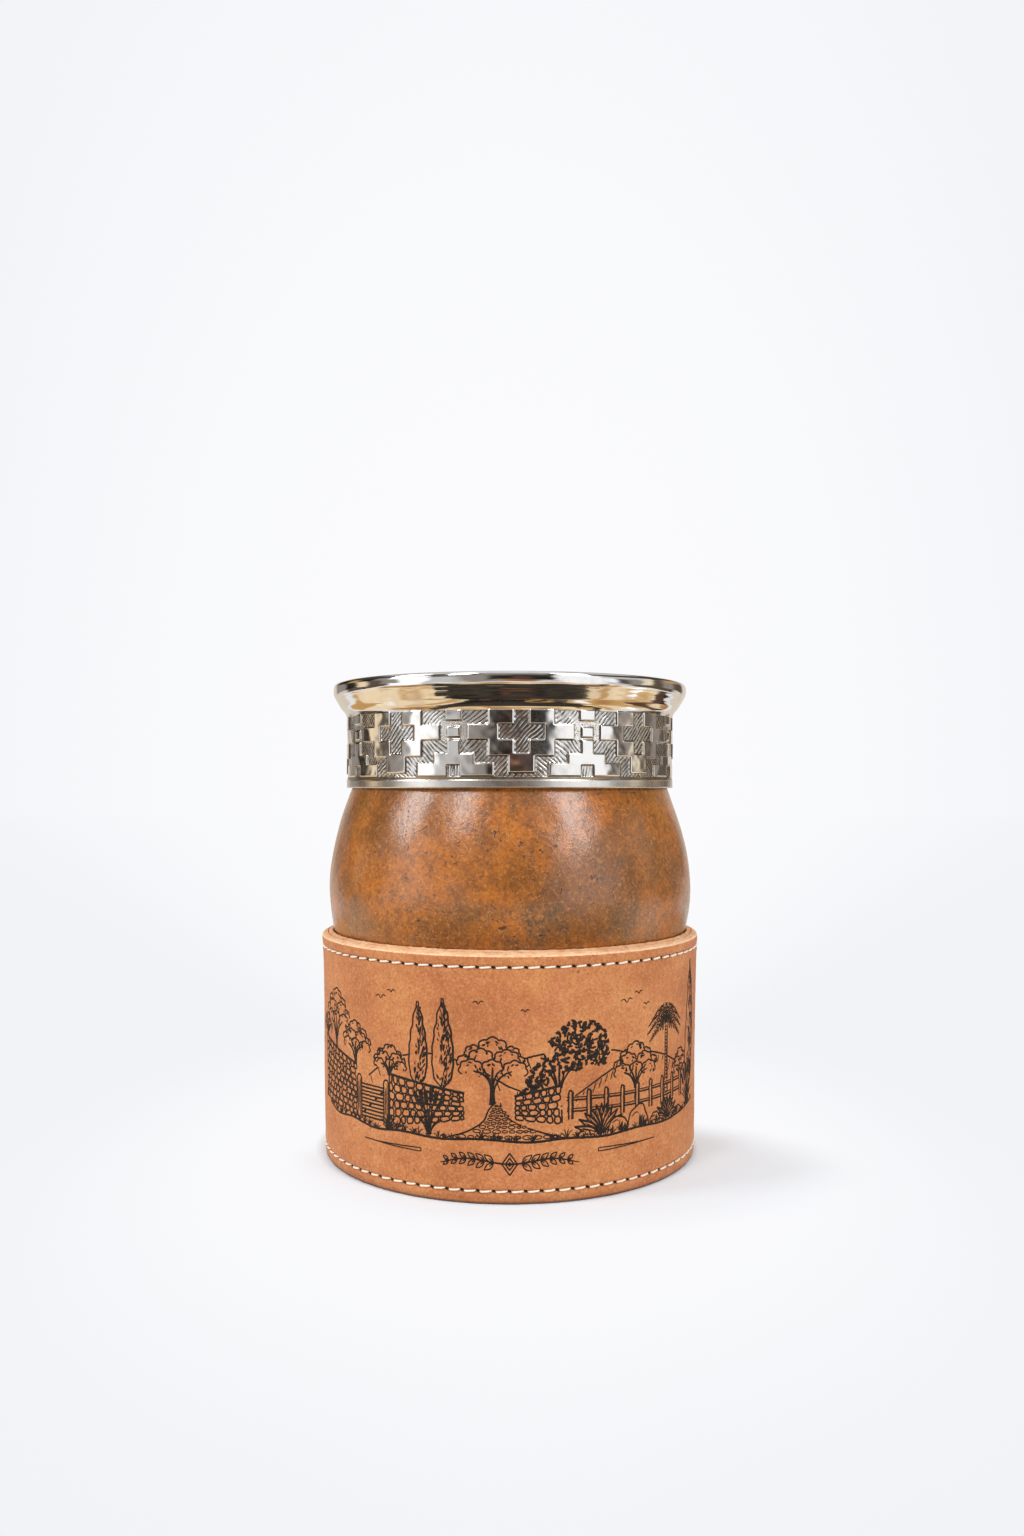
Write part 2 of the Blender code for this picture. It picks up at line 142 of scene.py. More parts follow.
def sleeve_radius(z):
    """Outer radius of the leather at a height."""
    share = np.clip(np.asarray(z, float) / SLEEVE_TOP_Z, 0.0, 1.05)
    return SLEEVE_TOP_R - LIP_FLARE - TAPER * (1.0 - share) + LIP_FLARE * share ** LIP_POWER


def lining_radius(z):
    """Outer radius of the lining at a height."""
    return sleeve_radius(z) - LEATHER - GLUE_LINE


def wave_noise(seed, turn, height, rings, lengths, count):
    """Smooth noise of unit spread on a turned surface: waves of so many rings round and lengths up."""
    draw = np.random.default_rng(seed)
    total = np.zeros(np.broadcast(turn, height).shape)
    for _ in range(count):
        around = draw.integers(rings[0], rings[1] + 1)
        along = tau / draw.uniform(*lengths) * draw.choice((-1.0, 1.0))
        total = total + np.sin(around * turn + along * height + draw.uniform(0.0, tau))
    return total * sqrt(2.0 / count)


def hump(away, width):
    """A soft hump of unit height over its middle."""
    return np.exp(-(away / width) ** 2)


# Mesh making


def place(radius, turn, z):
    """Points from radius, turn and height, as an array of rows."""
    radius, turn, z = np.broadcast_arrays(radius, turn, z)
    return np.stack((radius * np.sin(turn), -radius * np.cos(turn), z), axis=-1)


def grid_faces(rows, columns, close_rows=False, close_columns=False, start=0, flip=False):
    """Quads of a grid whose points run along the columns, row after row."""
    row = np.arange(rows if close_rows else rows - 1)[:, None]
    column = np.arange(columns if close_columns else columns - 1)[None, :]
    below = row * columns
    above = (row + 1) % rows * columns
    after = (column + 1) % columns
    corners = (below + column, below + after, above + after, above + column)
    faces = np.stack(np.broadcast_arrays(*corners), axis=-1).reshape(-1, 4) + start
    return (faces[:, ::-1] if flip else faces).tolist()


def close_ends(points, faces, columns, first_z, last_z, order=1):
    """Close a turned grid at both ends, with triangles round middles at two heights."""
    count = len(points)
    points = np.vstack((points, [[0.0, 0.0, first_z], [0.0, 0.0, last_z]]))
    for middle, start, way in ((count, 0, order), (count + 1, count - columns, -order)):
        faces += [(middle, *(start + (i + 1) % columns, start + i)[::way]) for i in range(columns)]
    return points, faces


def turn_outward(mesh):
    """Turn the faces of a closed mesh round if they face inward."""
    solid = bmesh.new()
    solid.from_mesh(mesh)
    if solid.calc_volume(signed=True) < 0.0:
        mesh.flip_normals()
    solid.free()


def new_object(name, data):
    """An object in the scene for a mesh, a lamp or a camera."""
    item = bpy.data.objects.new(name, data)
    bpy.context.scene.collection.objects.link(item)
    return item


def new_mesh(name, points, faces, finishes, looks=None):
    """A mesh from points in millimetres; looks number the finish of each face."""
    mesh = bpy.data.meshes.new(name)
    mesh.from_pydata((np.asarray(points).reshape(-1, 3) * MM).tolist(), [], faces)
    for finish in finishes:
        mesh.materials.append(finish)
    if looks is not None:
        mesh.polygons.foreach_set("material_index", np.asarray(looks, dtype=np.int32).ravel())
    return mesh


def make_piece(name, points, faces, finishes, body, nodes, looks=None, values=None):
    """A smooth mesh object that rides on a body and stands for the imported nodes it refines."""
    mesh = new_mesh(name, points, faces, finishes, looks)
    mesh.polygons.foreach_set("use_smooth", [True] * len(mesh.polygons))
    for key, numbers in (values or {}).items():
        layer = mesh.attributes.new(key, "FLOAT", "POINT")
        layer.data.foreach_set("value", np.asarray(numbers, dtype=np.float32).ravel())
    mesh.update()
    mesh.validate()
    turn_outward(mesh)
    item = new_object(name, mesh)
    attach(item, body)
    if nodes:
        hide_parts(*nodes)
    return item


def circle(columns):
    """Turns of columns evenly round the axis."""
    return np.arange(columns) / columns * tau


def turned_grid(profile, columns, offset=None):
    """Points of a turned surface: rows of radius and height, by columns round the axis."""
    radii, heights = np.array(profile, float).T[:, :, None]
    if offset is not None:
        radii = radii + offset(circle(columns), heights)
    return place(radii, circle(columns), heights)


def resample(profile, spacing):
    """A profile with points added so that no step is longer than the spacing."""
    out = [profile[0]]
    for (r0, z0), (r1, z1) in zip(profile, profile[1:]):
        count = max(1, ceil(hypot(r1 - r0, z1 - z0) / spacing))
        for share in [i / count for i in range(1, count + 1)]:
            out.append((r0 + (r1 - r0) * share, z0 + (z1 - z0) * share))
    return out


def rounded(path, passes):
    """A path with its corners cut at quarter points, ends kept."""
    path = np.array(path)
    for _ in range(passes):
        cut = np.stack((path[:-1] * 0.75 + path[1:] * 0.25, path[:-1] * 0.25 + path[1:] * 0.75), axis=1)
        path = np.concatenate((path[:1], cut.reshape(-1, path.shape[1]), path[-1:]))
    return path


# Finishes

# How fast the backdrop greys sideways, in depth and upward, for the squares of its direction
BACKDROP_FALL = (4.0, 0.0, 1.5)


def linear(colour):
    """A linear colour from one written as three numbers in 0 to 255; anything else as it is."""
    if not isinstance(colour, tuple) or len(colour) != 3:
        return colour
    channels = [value / 255.0 for value in colour]
    return (*(v / 12.92 if v <= 0.04045 else ((v + 0.055) / 1.055) ** 2.4 for v in channels), 1.0)


class Nodes:
    """Short calls for the nodes of a material or the world."""

    def __init__(self, tree, place="Object"):
        self.tree = tree
        self.place = self.add("TexCoord").outputs[place]

    def feed(self, socket, value):
        if isinstance(value, bpy.types.NodeSocket):
            self.tree.links.new(value, socket)
        else:
            socket.default_value = value

    def add(self, kind, inputs=(), **settings):
        """A node with its settings and the values or links of its inputs."""
        node = self.tree.nodes.new("ShaderNode" + kind)
        for key, value in settings.items():
            setattr(node, key, value)
        for socket, value in dict(inputs).items():
            self.feed(node.inputs[socket], value)
        return node

    def math(self, operation, first, second=0.0, third=0.0):
        return self.add("Math", {0: first, 1: second, 2: third}, operation=operation).outputs["Value"]

    def times(self, first, second):
        return self.math("MULTIPLY", first, second)

    def vector(self, operation, first, second=(0.0, 0.0, 0.0), output="Vector"):
        return self.add("VectorMath", {0: first, 1: second}, operation=operation).outputs[output]

    def stretched(self, x, y, z):
        """The object's coordinates, scaled by axis."""
        return self.add("Mapping", {"Vector": self.place, "Scale": (x, y, z)}).outputs["Vector"]

    def noise(self, scale, detail=2.0, rough=0.5, distortion=0.0, source=None):
        inputs = {"Vector": source or self.place, "Scale": scale, "Detail": detail,
                  "Roughness": rough, "Distortion": distortion}
        return self.add("TexNoise", inputs).outputs["Fac"]

    def cells(self, scale, randomness=1.0):
        inputs = {"Vector": self.place, "Scale": scale, "Randomness": randomness}
        return self.add("TexVoronoi", inputs).outputs["Distance"]

    def warped(self, scale, amount):
        """The object's coordinates, pushed about by noise."""
        push = self.add("TexNoise", {"Vector": self.place, "Scale": scale, "Detail": 2.0})
        centred = self.vector("SUBTRACT", push.outputs["Color"], (0.5, 0.5, 0.5))
        scaled = self.add("VectorMath", {0: centred, "Scale": amount}, operation="SCALE")
        return self.vector("ADD", self.place, scaled.outputs["Vector"])

    def between(self, value, low, high, to_low=0.0, to_high=1.0):
        """A value eased from one range to another, and held at its ends."""
        inputs = {"Value": value, "From Min": low, "From Max": high, "To Min": to_low, "To Max": to_high}
        return self.add("MapRange", inputs, interpolation_type="SMOOTHSTEP").outputs["Result"]

    def creases(self, scale, bend, width, gaps):
        """Short fine lines where a warped noise crosses its middle; gaps are a noise and its range."""
        field = self.noise(scale, 1.0, 0.5, 0.0, self.warped(scale * 0.7, bend))
        away = self.math("ABSOLUTE", self.math("SUBTRACT", field, 0.5))
        kept = self.between(self.noise(gaps[0], 1.0), *gaps[1:])
        return self.times(self.between(away, *width, 1.0, 0.0), kept)

    def ramp(self, value, *stops):
        """Colours along a value: each stop is a position and a colour."""
        node = self.add("ValToRGB", {"Fac": value})
        elements = node.color_ramp.elements
        while len(elements) < len(stops):
            elements.new(0.5)
        for element, (position, colour) in zip(elements, stops):
            element.position = position
            element.color = linear(colour)
        return node.outputs["Color"]

    def mix(self, share, first, second):
        inputs = {0: share, 6: linear(first), 7: linear(second)}
        return self.add("Mix", inputs, data_type="RGBA").outputs[2]

    def value(self, name):
        """A number kept on the mesh's points."""
        return self.add("Attribute", attribute_name=name).outputs["Fac"]

    def relief(self, *layers):
        """A normal from layers, each a height in 0 to 1 and how deep it is in millimetres."""
        normal = {}
        for height, depth in layers:
            bump = self.add("Bump", {"Height": height, "Distance": depth * MM, **normal})
            normal = {"Normal": bump.outputs["Normal"]}
        return normal["Normal"]

    def blend(self, share, first, second):
        """A shader between two others."""
        return self.add("MixShader", {0: share, 1: first, 2: second}).outputs["Shader"]

    def glow(self, colour):
        """A shader that shows its colour as it is, whatever the light."""
        return self.add("Emission", {"Color": linear(colour), "Strength": 1.0}).outputs["Emission"]

    def backdrop(self):
        """The backdrop's colour: lightest behind the mate, a little greyer away from there."""
        towards = self.vector("NORMALIZE", self.place)
        squares = self.vector("MULTIPLY", towards, towards)
        away = self.vector("DOT_PRODUCT", squares, BACKDROP_FALL, "Value")
        depth = self.add("SeparateXYZ", {"Vector": towards}).outputs["Y"]
        greyer = self.between(self.math("ADD", away, self.between(depth, -0.3, 0.5, 0.8, 0.0)), 0.0, 1.0)
        return self.mix(greyer, (251, 251, 253), (241, 243, 246))


class Finish(Nodes):
    """A Principled material, painted colour over colour."""

    def __init__(self, name, roughness, metallic=0.0, colour=None, **sockets):
        self.material = bpy.data.materials.new(name)
        self.material.use_nodes = True
        super().__init__(self.material.node_tree)
        self.shader = self.tree.nodes["Principled BSDF"]
        self.colour = colour
        self.set("Roughness", roughness)
        self.set("Metallic", metallic)
        for socket, value in sockets.items():
            self.set(socket.replace("_", " "), value)

    def set(self, socket, value):
        """Give a socket of the shader a value or a link."""
        self.feed(self.shader.inputs[socket], value)

    def paint(self, colour, share, *eased):
        """Lay a colour over the last one by a share, or by a value eased from range to range."""
        self.colour = self.mix(self.between(share, *eased) if eased else share, self.colour, colour)

    def done(self, *layers):
        """The material, with its painted colour and its relief put in."""
        self.set("Base Color", self.colour)
        self.set("Normal", self.relief(*layers))
        return self.material

    def show(self, shader):
        """The material, with another shader in the Principled one's place."""
        self.tree.links.new(shader, self.tree.nodes["Material Output"].inputs["Surface"])
        return self.material


def gourd_skin():
    """Dried calabash skin: orange-brown, wrinkled finely all over, pitted, under a thin gloss."""
    finish = Finish("gourd_skin", 0.5, Coat_Weight=1.0, Coat_Roughness=0.21, Coat_IOR=1.75,
                    Specular_IOR_Level=0.15)
    finish.colour = finish.ramp(finish.noise(54.0, 5.0, 0.58, 0.6), (0.3, (122, 70, 16)),
                                (0.43, (150, 86, 16)), (0.56, (180, 100, 14)), (0.7, (198, 112, 16)))
    mottle = finish.noise(330.0, 5.0, 0.62)
    finish.paint((122, 70, 26), mottle, 0.36, 0.56, 0.62, 0.0)
    grain = finish.noise(1300.0, 4.0, 0.6, 0.7)
    finish.paint((96, 54, 20), grain, 0.34, 0.5, 0.52, 0.0)
    finish.paint((222, 146, 76), grain, 0.52, 0.68, 0.0, 0.3)
    stain = finish.value("stain")
    fleck = finish.between(finish.noise(1250.0, 3.0, 0.6), 0.4, 0.58, 0.95, 0.1)
    finish.paint((62, 48, 34), finish.times(stain, fleck))
    finish.paint((104, 84, 60), finish.times(stain, 0.35))
    fibres = finish.math("MAXIMUM", *(finish.creases(scale, bend, (0.006, 0.032), (scale * 2.1, 0.5, 0.6))
                                      for scale, bend in ((560.0, 0.0018), (860.0, 0.0012))))
    finish.paint((232, 164, 88), finish.times(fibres, 0.3))
    pit = finish.between(finish.noise(800.0, 2.0, 0.5, 0.0, finish.warped(500.0, 0.002)), 0.66, 0.71)
    pit = finish.times(pit, finish.between(finish.noise(130.0, 2.0), 0.46, 0.56))
    finish.paint((56, 34, 18), finish.times(pit, 0.8))
    finish.set("Roughness", finish.between(mottle, 0.3, 0.7, 0.56, 0.44))
    finish.set("Coat Normal", finish.relief((grain, 0.05), (mottle, 0.05), (pit, -0.08)))
    return finish.done((grain, 0.12), (mottle, 0.09), (fibres, 0.03), (pit, -0.12))


def gourd_flesh():
    """The gourd's hollow: dry pith, stained darker by use."""
    finish = Finish("gourd_flesh", 0.85)
    finish.colour = finish.ramp(finish.noise(60.0, 5.0, 0.6), (0.3, (92, 72, 42)), (0.5, (128, 100, 60)),
                                (0.7, (160, 128, 82)))
    fibre = finish.noise(700.0, 4.0, 0.7, 0.0, finish.stretched(1.0, 1.0, 0.25))
    finish.paint((70, 52, 30), fibre, 0.35, 0.6, 0.5, 0.0)
    return finish.done((fibre, 0.25))


def grained(name, rough, scale, detail, spread, depth, *stops):
    """A finish of one grain: its colours along a noise, and the same noise as relief."""
    finish = Finish(name, rough)
    grain = finish.noise(scale, detail, spread)
    finish.colour = finish.ramp(grain, *stops)
    return finish.done((grain, depth))


def silver(name, rough, wear=0.08, colour=None):
    """Nickel silver with faint rub marks in its gloss, and the noise that they follow."""
    finish = Finish(name, rough, 1.0, colour)
    cloud = finish.noise(220.0, 4.0, 0.6)
    finish.set("Roughness", finish.between(cloud, 0.3, 0.75, rough, rough + wear))
    return finish, cloud


def polished(name, colour, rough, scratch, wear=0.08):
    """Polished nickel silver with rub marks in its tone and slow ripples from its spinning."""
    finish, cloud = silver(name, rough, wear, colour)
    finish.paint((204, 199, 193), cloud, 0.42, 0.7, 0.0, 0.4)
    rings = finish.noise(1.0, 3.0, 0.55, 0.0, finish.stretched(90.0, 90.0, 2600.0))
    return finish.done((rings, scratch))


def hatched(name, lean, pitch=0.78):
    """A chased ground: hand-cut lines that lean one way, uneven in depth and spacing."""
    finish, _ = silver(name, 0.2)
    uv = finish.add("UVMap", uv_map="chasing").outputs["UV"]
    split = finish.add("SeparateXYZ", {"Vector": uv}).outputs
    wander = finish.math("MULTIPLY_ADD", finish.noise(150.0, 2.0), 2.2, -1.1)
    across = finish.math("MULTIPLY_ADD", split["Y"], lean[1], wander)
    along = finish.math("MULTIPLY_ADD", split["X"], lean[0], across)
    wave = finish.math("MULTIPLY_ADD", finish.math("SINE", finish.times(along, tau / pitch)), 0.5, 0.5)
    worn = finish.between(finish.noise(640.0, 3.0, 0.6), 0.36, 0.6, 0.3, 0.95)
    finish.colour = finish.ramp(finish.noise(300.0, 3.0, 0.6), (0.35, (196, 193, 190)),
                                (0.65, (238, 237, 235)))
    finish.paint((52, 45, 40), finish.times(finish.between(wave, 0.06, 0.46, 1.0, 0.0), worn))
    return finish.done((finish.times(wave, worn), 0.055))


def stippled(name):
    """A chased ground of punched dots."""
    finish, _ = silver(name, 0.22, colour=(232, 230, 227))
    dot = finish.between(finish.cells(3300.0, 0.8), 0.1, 0.45, 1.0, 0.0)
    finish.paint((110, 98, 88), finish.times(dot, 0.8))
    return finish.done((dot, -0.04))


def leather_grain():
    """Vegetable-tanned leather, grain side: matte tan, softly mottled, with fine pores."""
    finish = Finish("leather_grain", 0.66, Sheen_Weight=0.06, Sheen_Roughness=0.5, Specular_IOR_Level=0.4)
    finish.colour = finish.ramp(finish.noise(58.0, 5.0, 0.62, 0.3), (0.32, (186, 110, 60)),
                                (0.5, (205, 128, 72)), (0.66, (217, 144, 86)))
    mottle = finish.noise(430.0, 5.0, 0.66)
    finish.paint((184, 106, 58), mottle, 0.36, 0.55, 0.3, 0.0)
    finish.paint((230, 162, 104), mottle, 0.53, 0.7, 0.0, 0.26)
    finish.paint((204, 118, 78), finish.noise(75.0, 3.0, 0.5), 0.58, 0.72, 0.0, 0.35)
    grain = finish.noise(1900.0, 4.0, 0.62)
    finish.paint((156, 84, 44), grain, 0.36, 0.5, 0.42, 0.0)
    finish.paint((242, 176, 118), grain, 0.52, 0.68, 0.0, 0.34)
    crease = finish.creases(300.0, 0.003, (0.003, 0.016), (260.0, 0.58, 0.66))
    finish.paint((240, 184, 132), finish.times(crease, 0.3))
    specks = finish.times(finish.between(finish.cells(420.0), 0.08, 0.18, 1.0, 0.0),
                          finish.between(finish.noise(110.0), 0.54, 0.6))
    finish.paint((116, 62, 38), finish.times(specks, 0.6))
    # Painted shade: darker at the leather's rounded foot and along its stitch furrows
    finish.paint((88, 46, 26), finish.value("shade"))
    # Painted shade: near-black inside the awl and lacing holes
    finish.paint((22, 12, 9), finish.value("hole"))
    finish.set("Roughness", finish.between(mottle, 0.3, 0.7, 0.74, 0.6))
    return finish.done((grain, 0.08), (mottle, 0.07), (crease, -0.04))


def leather_cut():
    """The cut edge of the leather: orange fibres streaked along it, with painted highlights that make it
    pale at its corners.
    """
    finish = Finish("leather_cut_edge", 0.88)
    fibre = finish.noise(1.0, 5.0, 0.7, 0.4, finish.stretched(420.0, 420.0, 1900.0))
    fine = finish.noise(2400.0, 3.0, 0.7)
    finish.colour = finish.ramp(fibre, (0.36, (214, 124, 66)), (0.46, (234, 158, 100)),
                                (0.55, (248, 190, 138)), (0.66, (254, 212, 170)))
    finish.paint((228, 146, 90), fine, 0.35, 0.55, 0.3, 0.0)
    broken = finish.between(finish.noise(900.0, 3.0, 0.6), 0.34, 0.56, 0.5, 1.0)
    # Painted highlights: the cut edge paler where the pale value is high, at its corners
    finish.paint((255, 220, 180), finish.times(finish.value("pale"), broken))
    return finish.done((fine, 0.12), (fibre, 0.2))


def matted(name, light, dark, rough=0.9):
    """Leather seen from its flesh side, felt or resin: short matted fibres."""
    finish = Finish(name, rough, Sheen_Weight=0.15, colour=dark)
    nap = finish.noise(900.0, 5.0, 0.7, 0.5)
    finish.paint(light, nap, 0.35, 0.65)
    finish.paint(dark, finish.noise(70.0, 3.0), 0.4, 0.7, 0.0, 0.35)
    return finish.done((nap, 0.15))


def waxed_thread(name, colour):
    """Waxed thread with the dust of use in its lay."""
    finish = Finish(name, 0.55, Sheen_Weight=0.2, colour=colour)
    finish.paint((214, 186, 150), finish.noise(2500.0, 3.0, 0.6), 0.45, 0.7, 0.0, 0.3)
    return finish.done((finish.noise(5200.0, 2.0), 0.02))


# Gourd

GOURD_COLUMNS = 384
# Grey-brown stains on the skin: turn in degrees, height, half-width, half-height and strength
STAINS = ((8.5, 58.0, 5.0, 4.6, 0.9), (5.0, 52.5, 6.0, 3.0, 0.5), (34.0, 57.0, 6.5, 3.6, 0.6),
          (-52.0, 60.0, 4.0, 3.5, 0.5), (26.5, 66.5, 1.1, 1.4, 0.9), (33.0, 70.0, 1.6, 1.0, 0.6),
          (-30.0, 54.0, 7.0, 2.4, 0.35), (2.0, 83.5, 8.0, 1.6, 0.4), (118.0, 66.0, 7.0, 5.0, 0.7),
          (171.0, 58.0, 9.0, 4.0, 0.6), (-140.0, 72.0, 5.0, 6.0, 0.55), (-98.0, 56.0, 6.0, 4.0, 0.6))


def stain_map(turns, z):
    """How stained the skin is at each place, from 0 to 1."""
    ragged = 0.35 * wave_noise(5, turns, z, (8, 60), (4.0, 20.0), 16)
    stain = np.zeros(ragged.shape)
    for turn, height, wide, high, strength in STAINS:
        across = ((turns - radians(turn) + pi) % tau - pi) * BELLY_R / wide
        away = across ** 2 + ((z - height) / high) ** 2
        stain = np.maximum(stain, strength * np.clip(1.2 - away - ragged, 0.0, 1.0))
    return stain


def make_gourd():
    """The whole shell: hollow, sawn mouth, skin and the sanded flat that it stands on."""
    floor = BELLY_Z - HOLLOW_DEPTH
    sunk = 1.0 - np.cos(np.linspace(0.06, pi / 2.0, 34))
    eased = np.sin(np.linspace(0.0, pi / 2.0, 34))
    hollow_z = np.concatenate((floor + (BELLY_Z - floor) * sunk, np.linspace(BELLY_Z, MOUTH_Z, 22)[1:]))
    skin_z = np.concatenate((np.linspace(MOUTH_Z, BELLY_Z, 64), BELLY_Z - (BELLY_Z - FOOT_Z) * eased[1:]))
    heights = np.concatenate((hollow_z, skin_z))
    radii = np.concatenate((hollow_radius(hollow_z), gourd_radius(skin_z)))
    seen = np.clip((skin_z - SLEEVE_TOP_Z) / 6.0, 0.25, 1.0) * np.clip((86.5 - skin_z) / 4.0, 0.3, 1.0)
    depth = np.concatenate((np.zeros(len(hollow_z)), seen))[:, None]

    def swell(turn, z):
        slow = wave_noise(3, turn, z, (1, 5), (60.0, 160.0), 8)
        quick = wave_noise(4, turn, z, (14, 44), (6.0, 22.0), 18)
        return depth * (0.1 * slow + 0.022 * quick)

    points = turned_grid(np.stack((radii, heights), axis=-1), GOURD_COLUMNS, swell).reshape(-1, 3)
    faces = grid_faces(len(heights), GOURD_COLUMNS, close_columns=True)
    points, faces = close_ends(points, faces, GOURD_COLUMNS, floor, FOOT_Z)
    rings = [1] * (len(hollow_z) - 1) + [2] + [0] * (len(skin_z) - 1) + [1, 0]
    stain = np.append(stain_map(circle(GOURD_COLUMNS), heights[:, None]), [0.0, 0.0])
    sawn = grained("gourd_cut", 0.8, 1200.0, 4.0, 0.6, 0.1, (0.3, (150, 116, 72)), (0.7, (196, 164, 112)))
    make_piece("gourd_body", points, faces, [gourd_skin(), gourd_flesh(), sawn], "gourd", ["gourd_shell"],
               np.repeat(rings, GOURD_COLUMNS), {"stain": stain})


# Ferrule

RIM_COLUMNS = 512
# The edge of the flare's sheet inside the bead, and the bead's underside
FLARE_FOLD = ((41.5, 107.4), (41.93, 107.22))
BEAD_FOOT = ((40.9, 107.05), (41.3, 106.72), (41.64, 106.72))
# Where the bowl's inner face ends in the bead, and its outer face in the band
BOWL_EDGE_R = 40.86
BOWL_HIDDEN_R = 38.6
HAMMER_Z = 104.9


def closed_ring(name, profile, finish, node, offset):
    """A turned ring with a closed section, on the gourd's body."""
    faces = grid_faces(len(profile), RIM_COLUMNS, close_rows=True, close_columns=True)
    make_piece(name, turned_grid(profile, RIM_COLUMNS, offset), faces, [finish], "gourd", [node])


def bowl_curve():
    """The bowl's outer face from the throat to the lip, and the same set in by the sheet."""
    share = np.linspace(0.0, 1.0, 40)[:, None]
    throat, turn, lip = np.array(((COLLAR_R, THROAT_Z), BOWL_TURN, (CREASE_R - 0.05, CREASE_Z - 0.35)))
    outer = (1.0 - share) ** 2 * throat + 2.0 * share * (1.0 - share) * turn + share ** 2 * lip
    slope = np.gradient(outer, axis=0)
    inner = outer + RIM_SHEET * (slope[:, ::-1] * (-1.0, 1.0)) / np.hypot(*slope.T)[:, None]
    return outer, inner


def make_rim():
    """Throat collar, bowl and flare in one spun sheet, and the bead on its lip."""
    outer, inner = bowl_curve()
    throat = COLLAR_R - RIM_SHEET
    dish = [(throat, COLLAR_FOOT_Z), (throat, THROAT_Z - 1.2), (throat + 0.02, THROAT_Z - 0.4)]
    dish += [(r, z) for r, z in inner if throat + 0.35 < r < BOWL_EDGE_R - 0.01 and z < CREASE_Z - 0.3]
    dish.append((BOWL_EDGE_R, CREASE_Z))
    hidden = [(r, z) for r, z in outer if r < BOWL_HIDDEN_R][::-1]
    collar = [(COLLAR_R, THROAT_Z - 1.0), (COLLAR_R, COLLAR_FOOT_Z)]
    flare = resample(rounded([*FLARE_FOLD, *FLARE[::-1]], 1), 0.12)
    bead = resample(rounded([*BEAD_FOOT, *BEAD_FACE], 2), 0.16)

    def hammered(turn, z):
        slow = wave_noise(11, turn, z, (3, 14), (5.0, 16.0), 12)
        quick = wave_noise(12, turn, z, (2, 30), (0.45, 1.3), 26)
        return hump(z - HAMMER_Z, 1.6) * (0.028 * slow + 0.0022 * quick)

    def wavering(turn, z):
        return 0.012 * wave_noise(13, turn, z, (4, 22), (3.0, 9.0), 14)

    closed_ring("rim_sheet", resample(dish, 0.6) + flare + hidden + collar,
                polished("silver_rim", (236, 234, 230), 0.06, 0.003, 0.07), "flared_rim",
                hammered)
    closed_ring("lip_bead", bead[::-1], polished("silver_bead", (238, 238, 238), 0.06, 0.0025),
                "rim_bead", wavering)


# The chased pattern, per repeat: half-widths in degrees from the cross or the hill, and depths
# in millimetres under the band's top
CROSS_TURNS = (3.7, 46.7, 92.2, 137.9, 183.5, 229.2, 274.9, 320.7)
HALF_REPEAT = 21.5
CROSS_STEPS = ((10.4, 0.0, 3.2), (17.0, 3.2, 6.4), (10.4, 6.4, 9.9), (4.1, 9.9, 13.5))
INNER_CROSS = ((2.4, 0.0, 9.35), (7.25, 3.2, 6.4))
HILL_PANELS = ((2.7, 0.0, 2.35), (2.2, 3.7, 5.9), (2.2, 6.4, 11.5), (6.8, 9.35, 11.5), (12.9, 11.5, 14.2))
HILL_DOOR = (2.2, 11.7, 14.6)
DOTTED = (4.3, 2.35, 6.4)
TOP_ZONE = 3.2
ZONE_DEPTH = 14.5
WALL = 0.13
PANEL_STEP = 0.42
ROW_STEP = 0.34
# Grounds, in the order of the band's finishes: hatched leaning right or left, or upright
PANEL, RIGHT, LEFT, DOTS, EDGE, UPRIGHT, BORDER = range(7)


def pattern_kind(across, depth):
    """What lies at a place of the repeat, so many degrees across and so deep under the top."""
    cross = abs(across)
    hill = HALF_REPEAT - cross
    for kind, away, shapes in ((RIGHT, cross, INNER_CROSS), (PANEL, cross, CROSS_STEPS),
                               (UPRIGHT, hill, [HILL_DOOR]), (PANEL, hill, HILL_PANELS),
                               (DOTS, hill, [DOTTED])):
        if any(away <= half and low <= depth < high for half, low, high in shapes):
            return kind
    return RIGHT if depth < TOP_ZONE or across < 0.0 else LEFT


def fine_steps(edges, wall, spacing):
    """Values from the first edge to the last, with a narrow wall at each one between."""
    edges = sorted(set(edges))
    out = [edges[0]]
    for low, high in zip(edges, edges[1:]):
        start = low + (wall / 2.0 if low > edges[0] else 0.0)
        end = high - (wall / 2.0 if high < edges[-1] else 0.0)
        if start > out[-1]:
            out.append(start)
        count = max(1, ceil((end - start) / spacing))
        out += [start + (end - start) * i / count for i in range(1, count + 1)]
    return np.array(out)


def band_columns():
    """Turns round the band, and how many degrees across its repeat each one is."""
    degree = radians(BAND_R)
    halves = [half for half, _, _ in CROSS_STEPS + INNER_CROSS] + [HALF_REPEAT]
    halves += [HALF_REPEAT - half for half, _, _ in HILL_PANELS + (HILL_DOOR, DOTTED)]
    edges = [sign * half for half in halves for sign in (-1, 1)]
    local = fine_steps(edges, WALL / degree, PANEL_STEP / degree)[:-1]
    centres = np.array(CROSS_TURNS)
    before, after = [((np.roll(centres, way) - centres + 180.0) % 360.0 - 180.0)[:, None] for way in (1, -1)]
    reach = np.where(local < 0.0, -before / 2.0, after / 2.0)
    return np.radians((centres[:, None] + local / HALF_REPEAT * reach).ravel()), np.tile(local, len(centres))


